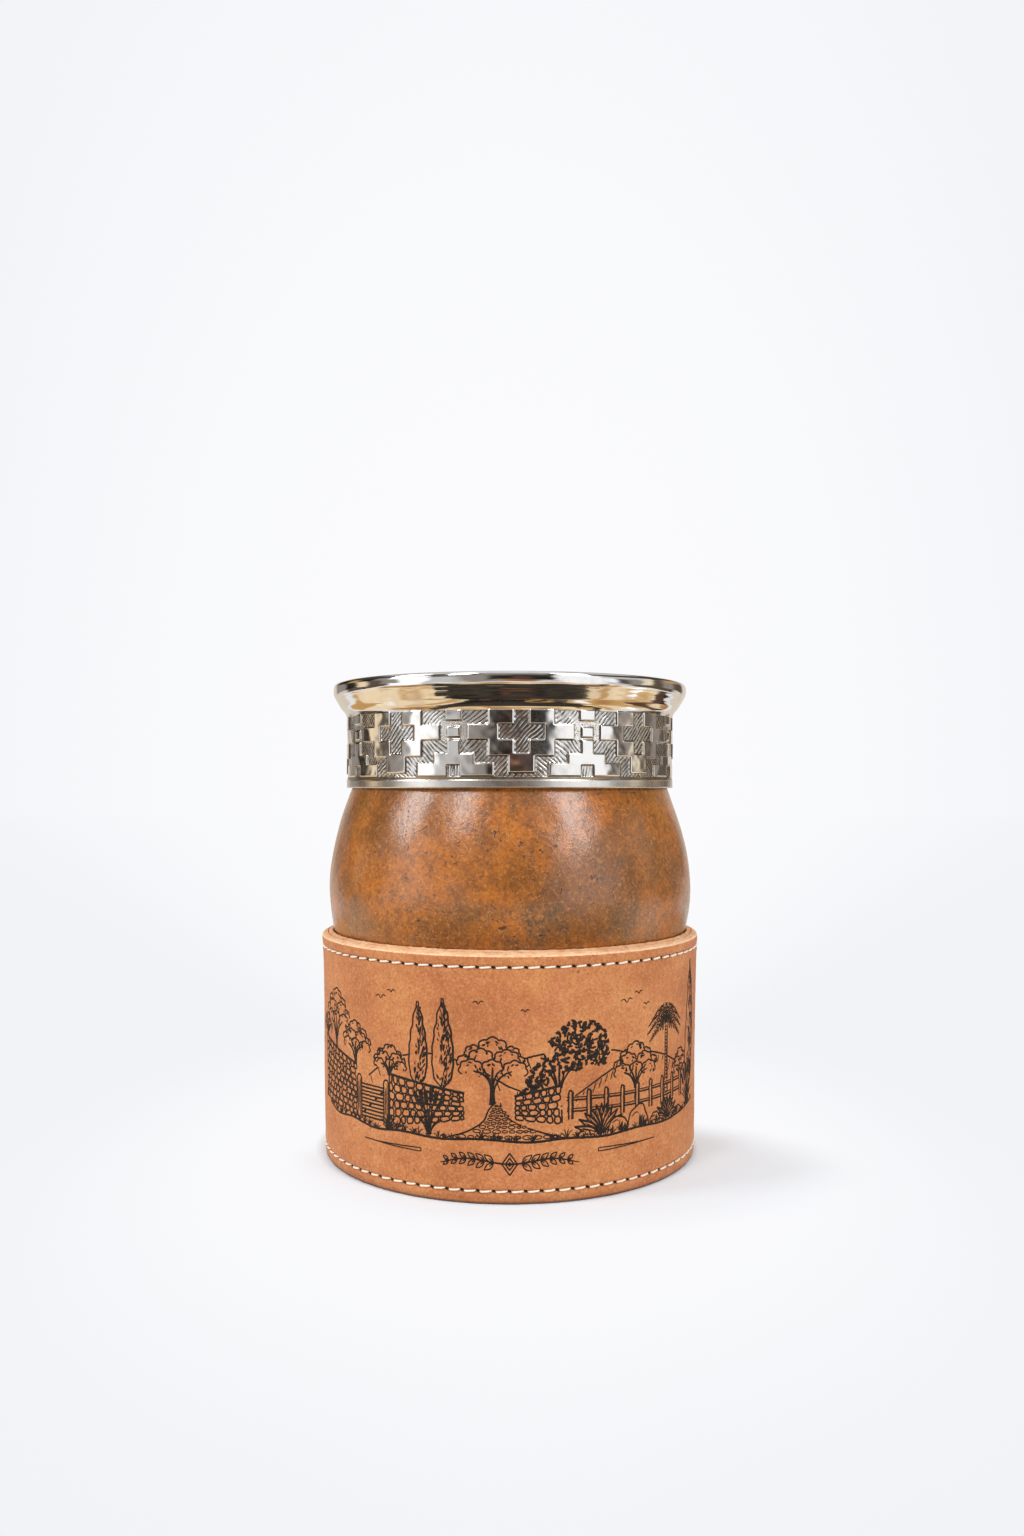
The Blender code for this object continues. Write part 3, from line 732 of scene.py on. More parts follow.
def make_band():
    """The band: raised polished panels over chased grounds, and a plain border below."""
    turns, across = band_columns()
    shapes = CROSS_STEPS + INNER_CROSS + HILL_PANELS + (DOTTED, (0.0, HILL_DOOR[1], ZONE_DEPTH))
    zone = fine_steps([depth for _, *ends in shapes for depth in ends], WALL, ROW_STEP)
    line = ZONE_DEPTH + BORDER_LINE
    border = [line + 0.08, line + 0.5, line + 1.0, line + 1.5, BAND_TOP_Z - BAND_FOOT_Z - 0.25]
    depths = np.concatenate((zone, [ZONE_DEPTH + BORDER_LINE * 0.5], border))
    kinds = np.full((len(depths), len(across)), BORDER)
    for row in np.flatnonzero(depths < ZONE_DEPTH - 0.01):
        kinds[row] = [pattern_kind(away, depths[row]) for away in across]
    level = np.where((kinds == PANEL) | (kinds == BORDER), 0.0, -GROUND_DEPTH)
    level[len(zone)] = -GROUND_DEPTH * 0.8

    heights = (BAND_TOP_Z - depths)[:, None]
    dents = wave_noise(21, turns, heights, (26, 90), (2.6, 9.0), 30)
    leans = wave_noise(22, turns, heights, (10, 30), (6.0, 20.0), 12)
    soft = 0.013 * dents + 0.034 * leans
    face = place(BAND_R - 0.05 + level + soft * np.where(kinds == BORDER, 0.25, 1.0), turns, heights)
    inside = BAND_R - BAND_SHEET
    rest = ((BAND_R - 0.1, BAND_FOOT_Z + 0.07), (BAND_R - 0.3, BAND_FOOT_Z), (inside, BAND_FOOT_Z),
            (inside, BAND_TOP_Z - 0.5), (BAND_R - 0.45, BAND_TOP_Z))
    radii, levels = np.array(rest).T[:, :, None]
    points = np.concatenate((face, place(radii, turns, levels)))
    rows, columns = kinds.shape
    total = len(points)

    looks = np.full((total, columns), BORDER)
    flat = np.ones((rows - 1, columns), dtype=bool)
    for down, along in ((0, 1), (1, 0), (1, 1)):
        flat &= np.isclose(np.roll(level, -along, axis=1)[down:rows - 1 + down], level[:-1])
    looks[:rows - 1] = np.where(flat, kinds[:-1], EDGE)
    finishes = [polished("silver_panel", (238, 237, 236), 0.1, 0.0015, 0.1),
                hatched("silver_hatch_right", (0.7071, -0.7071)),
                hatched("silver_hatch_left", (0.7071, 0.7071)), stippled("silver_dotted"),
                # The panels' walls are a darker, browner metal: painted shade along the panels' outlines
                polished("silver_wall_shade", (150, 134, 114), 0.24, 0.002),
                hatched("silver_hatch_upright", (1.0, 0.0), 0.62),
                polished("silver_border", (226, 224, 221), 0.22, 0.004, 0.1)]
    faces = grid_faces(total, columns, close_rows=True, close_columns=True, flip=True)
    mesh = make_piece("band_sheet", points, faces, finishes, "gourd", ["chased_band"],
                      looks).data
    corners = np.empty(len(mesh.loops), dtype=np.int32)
    mesh.loops.foreach_get("vertex_index", corners)
    flat_places = np.stack((np.tile(turns * BAND_R, total), points[..., 2].ravel()), axis=-1)
    uv = mesh.uv_layers.new(name="chasing")
    uv.data.foreach_set("uv", flat_places[corners].ravel().astype(np.float32))


# Leather

FURROW = 0.42
HOLE_HALF_WIDTH = 0.54
HOLE_HALF_HEIGHT = 0.3
HOLE_DEPTH = 0.3
LACING_HOLE_DEPTH = 0.75
# The seam's skived strip and its holes lie beyond these turns
SKIVE_TURN = 2.8
LACING_TURN = 3.0
# Edges of the leather, as a distance in from the face and a height: foot, top and the lining's top
FOOT_EDGE = ((0.62, 0.0), (0.3, 0.12), (0.1, 0.38), (0.02, 0.8))
TOP_EDGE = ((0.03, 51.15), (0.12, 51.38), (0.32, 51.52), (0.7, 51.7), (1.1, 51.9), (LEATHER + 0.12, 52.0),
            (LEATHER + 0.1, 51.7))
LINING_EDGE = ((0.03, 52.02), (0.3, 52.12), (0.6, 52.22), (0.85, 52.26), (1.02, 52.22), (LINING, 52.0))
# Places of columns within a stitch's pitch, close together at its hole
PITCH_SHARES = np.array([0.0, 0.2, 0.34, 0.42, 0.5, 0.58, 0.66, 0.8])


def column(*values):
    """Numbers as a column of an array."""
    return np.array(values)[:, None]


def hole_marks(turn, z):
    """How deep inside an awl hole of either row a place is, from 0 to 1."""
    offset = ((turn + pi) / STITCH_TURN) % 1.0 - 0.5
    along = offset * STITCH_TURN * SLEEVE_TOP_R
    mark = np.zeros(np.broadcast(turn, z).shape)
    for row, lean in ((TOP_ROW_Z, -0.22), (FOOT_ROW_Z, -0.26)):
        up = z - row - along * lean
        away = (np.abs(along) / HOLE_HALF_WIDTH) ** 2.5 + (np.abs(up) / HOLE_HALF_HEIGHT) ** 2.5
        mark = np.maximum(mark, np.clip(1.25 - away, 0.0, 1.0))
    return mark


def lacing_marks(x, z):
    """How deep inside a lacing hole at the seam a place is, from 0 to 1."""
    mark = np.zeros(np.broadcast(x, z).shape)
    for hole_x, hole_z in LACING:
        away = np.hypot(x - hole_x, z - hole_z)
        mark = np.maximum(mark, np.clip(2.2 - away / (LACING_R * 0.9), 0.0, 1.0))
    return mark


def row_furrow(z):
    """The shallow furrow and the swell beside it that a tight stitch row leaves."""
    return sum(-0.16 * hump(z - row, FURROW) + 0.05 * hump(np.abs(z - row) - 1.1, 0.6)
               for row in (TOP_ROW_Z, FOOT_ROW_Z))


def leather_surface(turn, z):
    """Radius of the leather's outer face: furrowed along its stitch rows and slightly uneven."""
    slow = 0.05 * wave_noise(31, turn, z, (2, 9), (20.0, 60.0), 9)
    quick = 0.012 * wave_noise(32, turn, z, (40, 150), (2.0, 7.0), 24)
    return sleeve_radius(z) + row_furrow(z) + slow + quick


def sleeve_heights():
    """Rows of the sleeve's face, close together at the stitch rows."""
    foot, top = [np.linspace(row - 0.9, row + 0.9, 13) for row in (FOOT_ROW_Z, TOP_ROW_Z)]
    body = np.linspace(FOOT_ROW_Z + 1.2, TOP_ROW_Z - 1.2, 83)
    return np.concatenate((foot, body, top, np.linspace(TOP_ROW_Z + 1.15, 50.9, 6)))


def seam_turns(step):
    """Columns round the sleeve, from one side of the seam's slit to the other."""
    slit = SEAM_GAP / 2.0 / SLEEVE_TOP_R
    turns = (np.arange(STITCHES)[:, None] + PITCH_SHARES[::step]).ravel() * STITCH_TURN - pi
    turns = turns[(turns > slit - pi + 0.001) & (turns < pi - slit - 0.001)]
    near = np.arange(0.35, 5.2, 0.22) / SLEEVE_TOP_R
    return np.unique(np.concatenate((turns, near - pi, pi - near, [slit - pi, pi - slit])).round(6))


def make_strip(name, turns, sections, looks, finishes, node, values):
    """A bent strip of leather, closed round its section and capped at the slit.

    A section is a run of rows, as its radius and height.
    """
    level = np.zeros_like(turns)
    radii, heights = [np.concatenate([part + level for part in parts]) for parts in zip(*sections)]
    rows, columns = radii.shape
    faces = grid_faces(rows, columns, close_rows=True, flip=True)
    start = [row * columns for row in range(rows)]
    faces += [start, [corner + columns - 1 for corner in start[::-1]]]
    looks = np.concatenate((np.repeat(looks, columns - 1), [1, 1]))
    make_piece(name, place(radii, turns, heights), faces, finishes, "sleeve", [node], looks, values)


def make_outer_leather():
    """The outer ply: furrowed and pierced at its stitch rows, skived and pierced at the seam."""
    turns = seam_turns(1)
    z = sleeve_heights()[:, None]
    radius = leather_surface(turns, z)
    marks = hole_marks(turns, z)
    lacing = np.where(np.abs(turns) > LACING_TURN, lacing_marks(radius * np.sin(turns), z), 0.0)
    skived = (sleeve_radius(z) - SKIVE) / np.maximum(np.cos(pi - np.abs(turns)), 0.5)
    cut_back = (z > LACING[0][1] - 1.0) & (z < LACING[-1][1] + 1.0) & (np.abs(turns) > SKIVE_TURN)
    radius = np.where(cut_back, np.minimum(radius, skived), radius)
    radius = radius - HOLE_DEPTH * marks - LACING_HOLE_DEPTH * lacing

    inset, foot_z = np.array(FOOT_EDGE).T[:, :, None]
    foot_r = sleeve_radius(foot_z) - inset + 0.03 * wave_noise(33, turns, foot_z, (3, 40), (5.0, 9.0), 12)
    inset, edge_z = np.array(TOP_EDGE).T[:, :, None]
    edge_r = sleeve_radius(edge_z) - inset
    ragged = 0.018 * wave_noise(34, turns, 0.0, (20, 300), (5.0, 9.0), 30)
    torn = 0.016 * wave_noise(35, turns, edge_z, (60, 300), (0.6, 1.6), 30)
    back_z = np.linspace(51.0, 0.0, 6)[:, None]

    face = slice(len(foot_z), len(foot_z) + len(z))
    rim = slice(face.stop, face.stop + len(edge_z))
    hole, shade, pale = np.zeros((3, rim.stop + len(back_z), len(turns)))
    # The hole value paints the awl and lacing holes near-black: painted shade in the holes
    hole[face] = np.clip(np.maximum(marks * 1.6, lacing * 1.3), 0.0, 1.0)
    # The shade value paints the rounded foot and the stitch furrows darker: painted shade
    shade[:face.start] = column(1.0, 0.95, 0.75, 0.25)
    shade[face] = 0.2 * sum(hump(z - row, FURROW) for row in (TOP_ROW_Z, FOOT_ROW_Z))
    # The pale value lightens the corners of the cut edge: painted highlights
    pale[rim] = column(0.8, 0.95, 0.6, 0.3, 0.5, 0.7, 0.0)
    sections = ((foot_r, foot_z), (radius, z), (edge_r, edge_z + ragged + torn),
                (sleeve_radius(back_z) - LEATHER, back_z))
    make_strip("outer_leather", turns, sections, [0] * rim.start + [1] * len(edge_z) + [2] * len(back_z),
               [leather_grain(), leather_cut(), matted("leather_back", (206, 158, 122), (168, 120, 86))],
               "sleeve_outer", {"hole": hole, "shade": shade, "pale": pale})


def make_lining():
    """The inner ply, its cut edge a little higher and frayed where it meets the gourd."""
    turns = seam_turns(2)
    outside_z = column(0.5, 12.0, 25.0, 38.0, 51.0)
    inset, edge_z = np.array(LINING_EDGE).T[:, :, None]
    ragged = 0.02 * wave_noise(41, turns, 0.0, (20, 300), (5.0, 9.0), 30)
    tufts = np.clip(wave_noise(42, turns, 0.0, (90, 300), (5.0, 9.0), 20) - 1.2, 0.0, 2.0)
    torn = 0.016 * wave_noise(43, turns, edge_z, (60, 300), (0.6, 1.6), 24)
    edge_r = lining_radius(edge_z) - inset - (inset > 0.8) * ragged
    inside_z = column(*np.linspace(51.6, 50.0, 4), *np.linspace(TOP_ROW_Z + 0.7, TOP_ROW_Z - 0.7, 9),
                      *np.linspace(47.0, 0.5, 24))
    inside_r = (lining_radius(inside_z) - LINING + 0.15 * hump(inside_z - TOP_ROW_Z, 0.4)
                + 0.03 * wave_noise(44, turns, inside_z, (6, 60), (5.0, 20.0), 16))

    rim = slice(len(outside_z), len(outside_z) + len(edge_z))
    pale = np.zeros((rim.stop + len(inside_z), len(turns)))
    # The pale value lightens the lining's cut edge in places: painted highlights
    pale[rim] = column(0.4, 0.2, 0.3, 0.8, 0.9, 0.6)
    sections = ((lining_radius(outside_z), outside_z),
                (edge_r, edge_z + ragged + 0.1 * tufts * (inset > 0.5) + torn), (inside_r, inside_z))
    make_strip("lining_leather", turns, sections,
               [0] * (rim.start - 1) + [1] * (len(edge_z) + 1) + [0] * len(inside_z),
               [matted("lining_flesh", (214, 168, 130), (174, 126, 92)), leather_cut()],
               "sleeve_lining", {"pale": pale})


def make_pad():
    """The loose felt pad that the gourd stands on; the sole under it keeps its solid."""
    columns = PAD_COLUMNS
    top, foot = INSOLE_TOP_Z, INSOLE_FOOT_Z
    profile = [(0.0, top), (INSOLE_R - 0.3, top), (INSOLE_R - 0.08, top - 0.1), (INSOLE_R, top - 0.4),
               (INSOLE_R, foot + 0.3), (INSOLE_R - 0.1, foot + 0.05), (INSOLE_R - 0.3, foot), (0.0, foot)]
    profile = np.array(resample(profile, 1.6)[1:-1])
    points = turned_grid(profile, columns)
    points[..., 2] += 0.03 * wave_noise(51, circle(columns), profile[:, :1], (4, 60), (3.0, 12.0), 20)
    faces = grid_faces(len(profile), columns, close_columns=True, flip=True)
    points, faces = close_ends(points.reshape(-1, 3), faces, columns, top, foot, -1)
    make_piece("felt_pad", points, faces, [matted("pad_felt", (150, 126, 102), (108, 88, 70), 0.95)],
               "insole", ["insole_pad"])


# Ornament: a countryside frieze, drawn flat in millimetres along the leather and up from its foot,
# the nearest things first, so that each can cover what lies behind it

LINE = 0.37
FINE = 0.25
HEAVY = 0.52
GROUND_Z = 13.4
PROUD = 0.018
PROUD_STEP = 0.003
SUNK = 0.05
# Puffs of a round tree, the lowest first: across, up and radius
PUFFS = ((-0.62, 0.02, 0.34), (0.62, 0.0, 0.34), (0.0, 0.05, 0.3), (-0.36, 0.27, 0.36), (0.38, 0.25, 0.36),
         (-0.8, 0.2, 0.22), (0.82, 0.18, 0.22), (0.0, 0.5, 0.42), (-0.5, 0.42, 0.26), (0.52, 0.4, 0.26))
# Corners of a stone, as shares of its length and its course
STONE = ((0.08, 0.2), (0.3, 0.04), (0.72, 0.05), (0.95, 0.22), (0.97, 0.72), (0.75, 0.95), (0.28, 0.96),
         (0.04, 0.75))
GROUND = ((-53.0, 14.6), (-47.0, 13.3), (-40.0, 13.8), (-32.0, 13.0), (-24.0, 13.6), (-15.0, 13.1),
          (-6.0, 13.5), (4.0, 12.9), (12.0, 13.4), (21.0, 13.0), (30.0, 13.5), (39.0, 13.1),
          (48.0, 13.8), (55.0, 14.8))
PATH_LEFT = ((-14.0, GROUND_Z), (-9.0, 15.0), (-5.6, 17.2), (-4.4, 19.6), (-2.8, 21.2))
PATH_RIGHT = ((12.0, GROUND_Z), (5.0, 15.4), (0.4, 17.4), (-1.6, 19.6), (-1.9, 21.2))
BOULDERS = ((-50.0, 3.4, 1.7), (-24.5, 2.6, 1.4), (16.2, 3.0, 1.6), (24.5, 5.4, 3.6), (30.2, 6.6, 4.8),
            (35.6, 3.6, 2.4), (45.6, 3.2, 1.8))
CLIMBER = ((1.6, 22.0), (4.0, 27.0), (7.2, 30.5), (8.8, 34.6), (12.6, 37.6), (17.2, 38.0), (21.0, 35.6),
           (22.6, 31.0), (20.6, 27.8), (16.8, 28.4), (13.6, 26.6), (9.8, 27.0), (6.6, 23.6))
# Far hills: a ridge, the step between its hatches and how they slant
HILLS = ((((-34.0, 24.0), (-27.0, 28.4), (-18.0, 30.6), (-8.0, 28.6), (0.0, 24.4), (6.0, 22.4)), 0.8, 0.35),
         (((14.0, 22.0), (22.0, 26.4), (30.0, 29.4), (38.0, 28.0), (46.0, 24.6), (55.0, 22.4)), 0.8, -0.35),
         (((-12.0, 24.0), (0.0, 29.4), (12.0, 31.6), (24.0, 30.6), (34.0, 27.0)), 0.9, 0.4))
BIRDS = ((-30.0, 41.0, 1.5), (-27.0, 42.6, 1.1), (-6.6, 41.4, 1.2), (26.6, 40.4, 1.6), (30.0, 42.0, 1.2),
         (32.4, 39.4, 1.0), (3.2, 39.8, 1.0))
RULE_Z = 10.3
RULE_NEAR = 19.6
RULE_FAR = 35.5
SPRIG_Z = 8.4


class Drawing:
    """Strokes of a width along lines, and the outlines that cover whatever is drawn after them."""

    def __init__(self, seed):
        self.strokes = []
        self.covers = []
        self.draw = np.random.default_rng(seed)
        self.between = self.draw.uniform

    def cover(self, outline):
        """Hide what comes later inside an outline."""
        outline = np.asarray(outline, float)
        self.covers.append((outline, outline.min(axis=0), outline.max(axis=0)))

    def hidden(self, points):
        """Which points lie inside an outline that covers."""
        inside = np.zeros(len(points), dtype=bool)
        low, high = points.min(axis=0), points.max(axis=0)
        x, y = points.T[:, :, None]
        for outline, least, most in self.covers:
            if (least > high).any() or (most < low).any():
                continue
            ax, ay = outline.T
            bx, by = np.roll(ax, -1), np.roll(ay, -1)
            rise = np.where(by == ay, 1.0, by - ay)
            left = x < (bx - ax) * (y - ay) / rise + ax
            inside |= (((ay > y) != (by > y)) & left).sum(axis=1) % 2 == 1
        return inside

    def ink(self, line, width=LINE, ends=0.5, shaky=0.025):
        """A stroke along a line, smoothed, with its ends drawn finer, where nothing covers it."""
        path = smooth(line, 0.28)
        path = path + self.draw.normal(0.0, shaky, path.shape)
        share = np.linspace(-1.0, 1.0, len(path))
        widths = width * (ends + (1.0 - ends) * (1.0 - share ** 4))
        clear = np.concatenate(([0], ~self.hidden(path), [0]))
        for start, end in np.flatnonzero(np.diff(clear)).reshape(-1, 2):
            if end - start >= 2:
                self.strokes.append((path[start:end], widths[start:end]))

    def leaf(self, x, z, angle, length, width):
        """A small filled leaf."""
        share = np.linspace(-1.0, 1.0, 7)
        reach = share * length / 2.0
        path = np.stack((x + reach * cos(angle), z + reach * sin(angle)), axis=-1)
        if not self.hidden(path).any():
            self.strokes.append((path, width * np.sqrt(np.clip(1.02 - share ** 2, 0.02, 1.0))))

    def outline(self, points, width):
        """A closed line that also covers what is behind it."""
        points = np.asarray(points, float)
        self.ink(np.vstack((points, points[:2])), width, 1.0)
        self.cover(points)

    def spans(self, points, parts, ends=1.0, shaky=0.02):
        """Strokes along parts of a row of points, each with its first and last point and width."""
        for first, last, width in parts:
            self.ink(points[first:last + 1], width, ends, shaky)

    def sides(self, left, right, width=HEAVY, ends=0.5):
        """Two sides of a thing, the right one of its own width, that cover what is behind."""
        self.ink(left, LINE, ends)
        self.ink(right, width, ends)
        self.cover(np.vstack((left, right[::-1])))


def smooth(line, step):
    """Points at even steps on a Catmull-Rom curve through a line's points."""
    line = np.asarray(line, float)
    if len(line) > 2:
        ends = np.vstack((2 * line[0] - line[1], line, 2 * line[-1] - line[-2]))
        share = np.linspace(0.0, 1.0, 8, endpoint=False)[:, None]
        out = [0.5 * (2 * b + (c - a) * share + (2 * a - 5 * b + 4 * c - d) * share ** 2
                      + (3 * b - a - 3 * c + d) * share ** 3)
               for a, b, c, d in zip(ends, ends[1:], ends[2:], ends[3:])]
        line = np.vstack(out + [line[-1:]])
    lengths = np.concatenate(([0.0], np.cumsum(np.hypot(*np.diff(line, axis=0).T))))
    even = np.linspace(0.0, lengths[-1], max(2, ceil(lengths[-1] / step) + 1))
    return np.stack([np.interp(even, lengths, values) for values in line.T], axis=-1)


def leans(count):
    """How things side by side lean, from -1 to 1."""
    return [(i / max(1, count - 1) - 0.5) * 2.0 for i in range(count)]


def puff(page, x, z, radius, bumps, dark):
    """A lump of foliage: a scalloped top with leaf strokes in its shade."""
    for _ in range(int(radius * radius * 2.4 * dark)):
        angle = page.between(-0.9, pi + 0.9)
        away = radius * page.between(0.45, 0.86)
        turn = angle + pi / 2.0 + page.between(-0.5, 0.5)
        page.leaf(x + away * cos(angle), z + 0.8 * away * sin(angle), turn, page.between(0.5, 1.0),
                  page.between(0.26, 0.46))
    angles = np.radians(np.linspace(-35, 215, bumps * 6 + 1))
    reach = radius * (0.93 + 0.16 * np.abs(np.sin(np.linspace(0.0, bumps * pi, bumps * 6 + 1))))
    rim = np.stack((x + reach * np.cos(angles), z + 0.8 * reach * np.sin(angles)), axis=-1)
    page.ink(rim, LINE, 0.7)
    page.cover(rim)


def trunk(page, x, foot, top, width, spread):
    """A forked trunk: dark on one side, its limbs fanning into the crown."""
    for lean in leans(5):
        fork = foot + (top - foot) * page.between(0.35, 0.55)
        page.ink([(x + lean * width * 0.45, foot), (x + lean * width * 0.3, fork),
                  (x + lean * spread * 0.45, (fork + top) / 2.0 + 0.4),
                  (x + lean * spread, top - abs(lean) * 0.8)], HEAVY * (0.95 if lean <= 0.0 else 0.75), 0.7)
    waist = foot + (top - foot) * 0.45
    page.cover([(x - width * 0.55, foot), (x - width * 0.35, waist), (x, top), (x + width * 0.35, waist),
                (x + width * 0.55, foot)])


def round_tree(page, x, foot, top, reach, bumps, dark):
    """A broad tree: a forked trunk under puffs of foliage."""
    crown = foot + (top - foot) * 0.42
    trunk(page, x, foot, crown + 1.6, reach * 0.16, reach * 0.55)
    for across, up, size in PUFFS:
        puff(page, x + across * reach + page.between(-0.3, 0.3), crown + up * (top - crown) + 0.12 * reach,
             size * reach, bumps, dark)


def flame_tree(page, x, foot, top, half):
    """A tall narrow tree, dark on its right."""
    height = top - foot
    body = foot + 1.2
    share = np.linspace(0.0, 1.0, 12)
    bulge = half * np.sin(pi * share ** 0.62) ** 0.8
    wave = 0.14 * half * np.sin(share * 34.0)
    page.ink([(x - 0.2, foot), (x - 0.25, body + 0.8)], LINE)
    page.ink([(x + 0.3, foot), (x + 0.25, body + 0.8)], HEAVY)
    for _ in range(int(height * half * 3.4)):
        up = page.between(0.04, 0.93)
        across = page.between(-0.75, 0.95)
        if across >= page.between(-1.0, 0.5):
            page.leaf(x + across * np.interp(up, share, bulge) * 0.88, body + up * (height - 1.2),
                      pi / 2.0 - across * 0.45 + page.between(-0.2, 0.2), page.between(0.7, 1.4),
                      page.between(0.2, 0.4))
    rise = body + share * (height - 1.2)
    page.sides(np.stack((x - bulge - wave, rise), axis=-1), np.stack((x + bulge + wave, rise), axis=-1),
               HEAVY * 0.9, 0.7)


def palm(page, x, foot, top, reach):
    """A palm: a ringed trunk and drooping fronds with leaflets."""
    for angle in [radians(-28 + i * 23.6) for i in range(11)]:
        middle = (x + reach * 0.52 * cos(angle), top + reach * (0.5 * sin(angle) + 0.12))
        tip = (x + reach * cos(angle), top + reach * (0.62 * sin(angle) - 0.2))
        rib = smooth([(x, top), middle, tip], 0.5)
        page.ink(rib, FINE, 0.6)
        for k in range(2, len(rib)):
            length = reach * 0.2 * (1.15 - k / len(rib))
            for side in (-1.0, 1.0):
                lean = angle + side * (1.1 if k % 2 else 0.9)
                page.leaf(rib[k, 0] + cos(lean) * length / 2.0, rib[k, 1] + sin(lean) * length / 2.0 - 0.1,
                          lean, length, 0.24)
    for i in range(int((top - foot) / 0.75)):
        z = foot + 0.4 + i * 0.75
        page.ink([(x - 0.45, z), (x, z - 0.22), (x + 0.5, z)], FINE)
    half = (top + foot) / 2.0
    page.sides([(x - 0.45, top), (x - 0.35, half), (x - 0.6, foot)],
               [(x + 0.4, top), (x + 0.45, half), (x + 0.75, foot)])


def stone_wall(page, x0, x1, top0, top1, foot0, foot1, courses):
    """A dry-stone wall between two ends, its stones pale in dark joints."""
    for row in range(courses):
        x = x0 + page.between(-1.0, 0.0)
        while x < x1:
            wide = page.between(1.35, 2.5)
            a, b = max(x, x0) + 0.14, min(x + wide, x1) - 0.14
            x += wide
            if b - a < 0.5:
                continue
            shape = []
            for u, v in STONE:
                at = a + (b - a) * u
                share = (at - x0) / (x1 - x0)
                low = foot0 + (foot1 - foot0) * share
                step = (top0 + (top1 - top0) * share - low) / courses
                shape.append((at + page.between(-0.08, 0.08),
                              low + (row + v) * step + page.between(-0.06, 0.06)))
            page.outline(shape, 0.36)
            if page.between(0.0, 1.0) < 0.35:
                right, level = shape[4]
                page.ink([(right - 0.5, level - 0.7), (right - 0.2, level - 0.1)], FINE)
    page.ink([(x0, top0 + 0.1), (x1, top1 + 0.1)], HEAVY, 0.9)
    page.cover([(x0, foot0 - 0.1), (x1, foot1 - 0.1), (x1, top1 + 0.1), (x0, top0 + 0.1)])


def gate(page, x0, x1, foot, top):
    """A timber gate between two posts."""
    for x in (x0, x1):
        post = [(x - 0.7, foot), (x - 0.7, top + 1.4), (x - 0.35, top + 2.0), (x + 0.4, top + 2.0),
                (x + 0.75, top + 1.4), (x + 0.75, foot)]
        page.spans(post, ((0, 1, LINE), (1, 4, LINE), (4, 5, HEAVY)))
        page.ink([(x + 0.2, foot + 0.4), (x + 0.25, top + 1.2)], FINE)
        page.ink([(x - 0.25, foot + 2.0), (x - 0.2, top + 0.4)], FINE)
        page.cover(post)
    for z in [foot + 0.7 + (top - foot - 1.2) * i / 4 for i in range(5)]:
        page.ink([(x0, z), (x1, z)], HEAVY * 0.8, 1.0, 0.02)
        page.ink([(x0, z + 0.75), (x1, z + 0.75)], LINE, 1.0, 0.02)
        page.cover([(x0, z), (x1, z), (x1, z + 0.75), (x0, z + 0.75)])
    page.ink([(x0 + 0.5, foot + 0.6), (x1 - 0.5, top - 0.2)], HEAVY, 1.0, 0.02)


def fence(page, x0, x1, foot, height, posts):
    """A post-and-rail fence."""
    for i in range(posts):
        x = x0 + (x1 - x0) * i / (posts - 1)
        post = [(x - 0.42, foot), (x - 0.38, foot + height), (x + 0.45, foot + height + 0.15),
                (x + 0.45, foot)]
        page.spans(post, ((0, 2, LINE), (2, 3, HEAVY)), shaky=0.03)
        page.cover(post)
    start, middle, end = x0 - 0.8, (x0 + x1) / 2.0, x1 + 0.8
    for z in (foot + height * 0.3, foot + height * 0.72):
        page.ink([(start, z), (middle, z - 0.2), (end, z)], LINE, 1.0)
        page.ink([(start, z + 0.55), (middle, z + 0.3), (end, z + 0.55)], FINE, 1.0)
        page.cover([(start, z), (end, z), (end, z + 0.55), (start, z + 0.55)])


def tuft(page, x, z, height, blades, width=FINE):
    """A tuft of grass."""
    for lean in leans(blades):
        lean += page.between(-0.15, 0.15)
        tall = height * (1.0 - 0.35 * abs(lean)) * page.between(0.8, 1.1)
        page.ink([(x + lean * 0.3, z), (x + lean * height * 0.25, z + tall * 0.6),
                  (x + lean * height * 0.62, z + tall)], width, 0.25)


def plume_grass(page, x, z, height):
    """Tall grass with feathery plumes."""
    for lean in leans(6):
        tall = height * (1.0 - 0.22 * abs(lean)) * page.between(0.88, 1.05)
        tip = (x + lean * height * 0.33, z + tall)
        page.ink([(x + lean * 0.3, z), (x + lean * height * 0.1, z + tall * 0.5), tip], FINE, 0.6)
        for k in range(9):
            at = tip[0] - lean * height * 0.012 * k
            page.leaf(at + 0.24, tip[1] - k * tall * 0.035, 1.0, 0.9, 0.24)
            page.leaf(at - 0.24, tip[1] - k * tall * 0.035, pi - 1.0, 0.9, 0.24)
    tuft(page, x, z, height * 0.55, 13)


def agave(page, x, z, size, count):
    """A rosette of pointed leaves, the outermost drawn first."""
    for i in range(count):
        lean = leans(count)[count - 1 - i // 2 if i % 2 else i // 2]
        angle = pi / 2.0 - lean * 1.25
        tip = (x + size * cos(angle) * (0.75 + 0.3 * abs(lean)), z + size * sin(angle))
        side = np.array((-sin(angle), cos(angle))) * size * 0.11
        middle = np.array((x + size * 0.45 * cos(angle), z + size * 0.5 * sin(angle)))
        foot = x + lean * size * 0.2
        blade = [(foot - 0.12 * size, z), middle + side, tip, middle - side, (foot + 0.12 * size, z)]
        page.spans(blade, ((0, 2, LINE), (2, 4, HEAVY)), 0.7, 0.025)
        page.ink([(x + lean * size * 0.15, z + 0.3), middle, (middle + tip) / 2.0], FINE, 0.4)
        page.cover(blade)


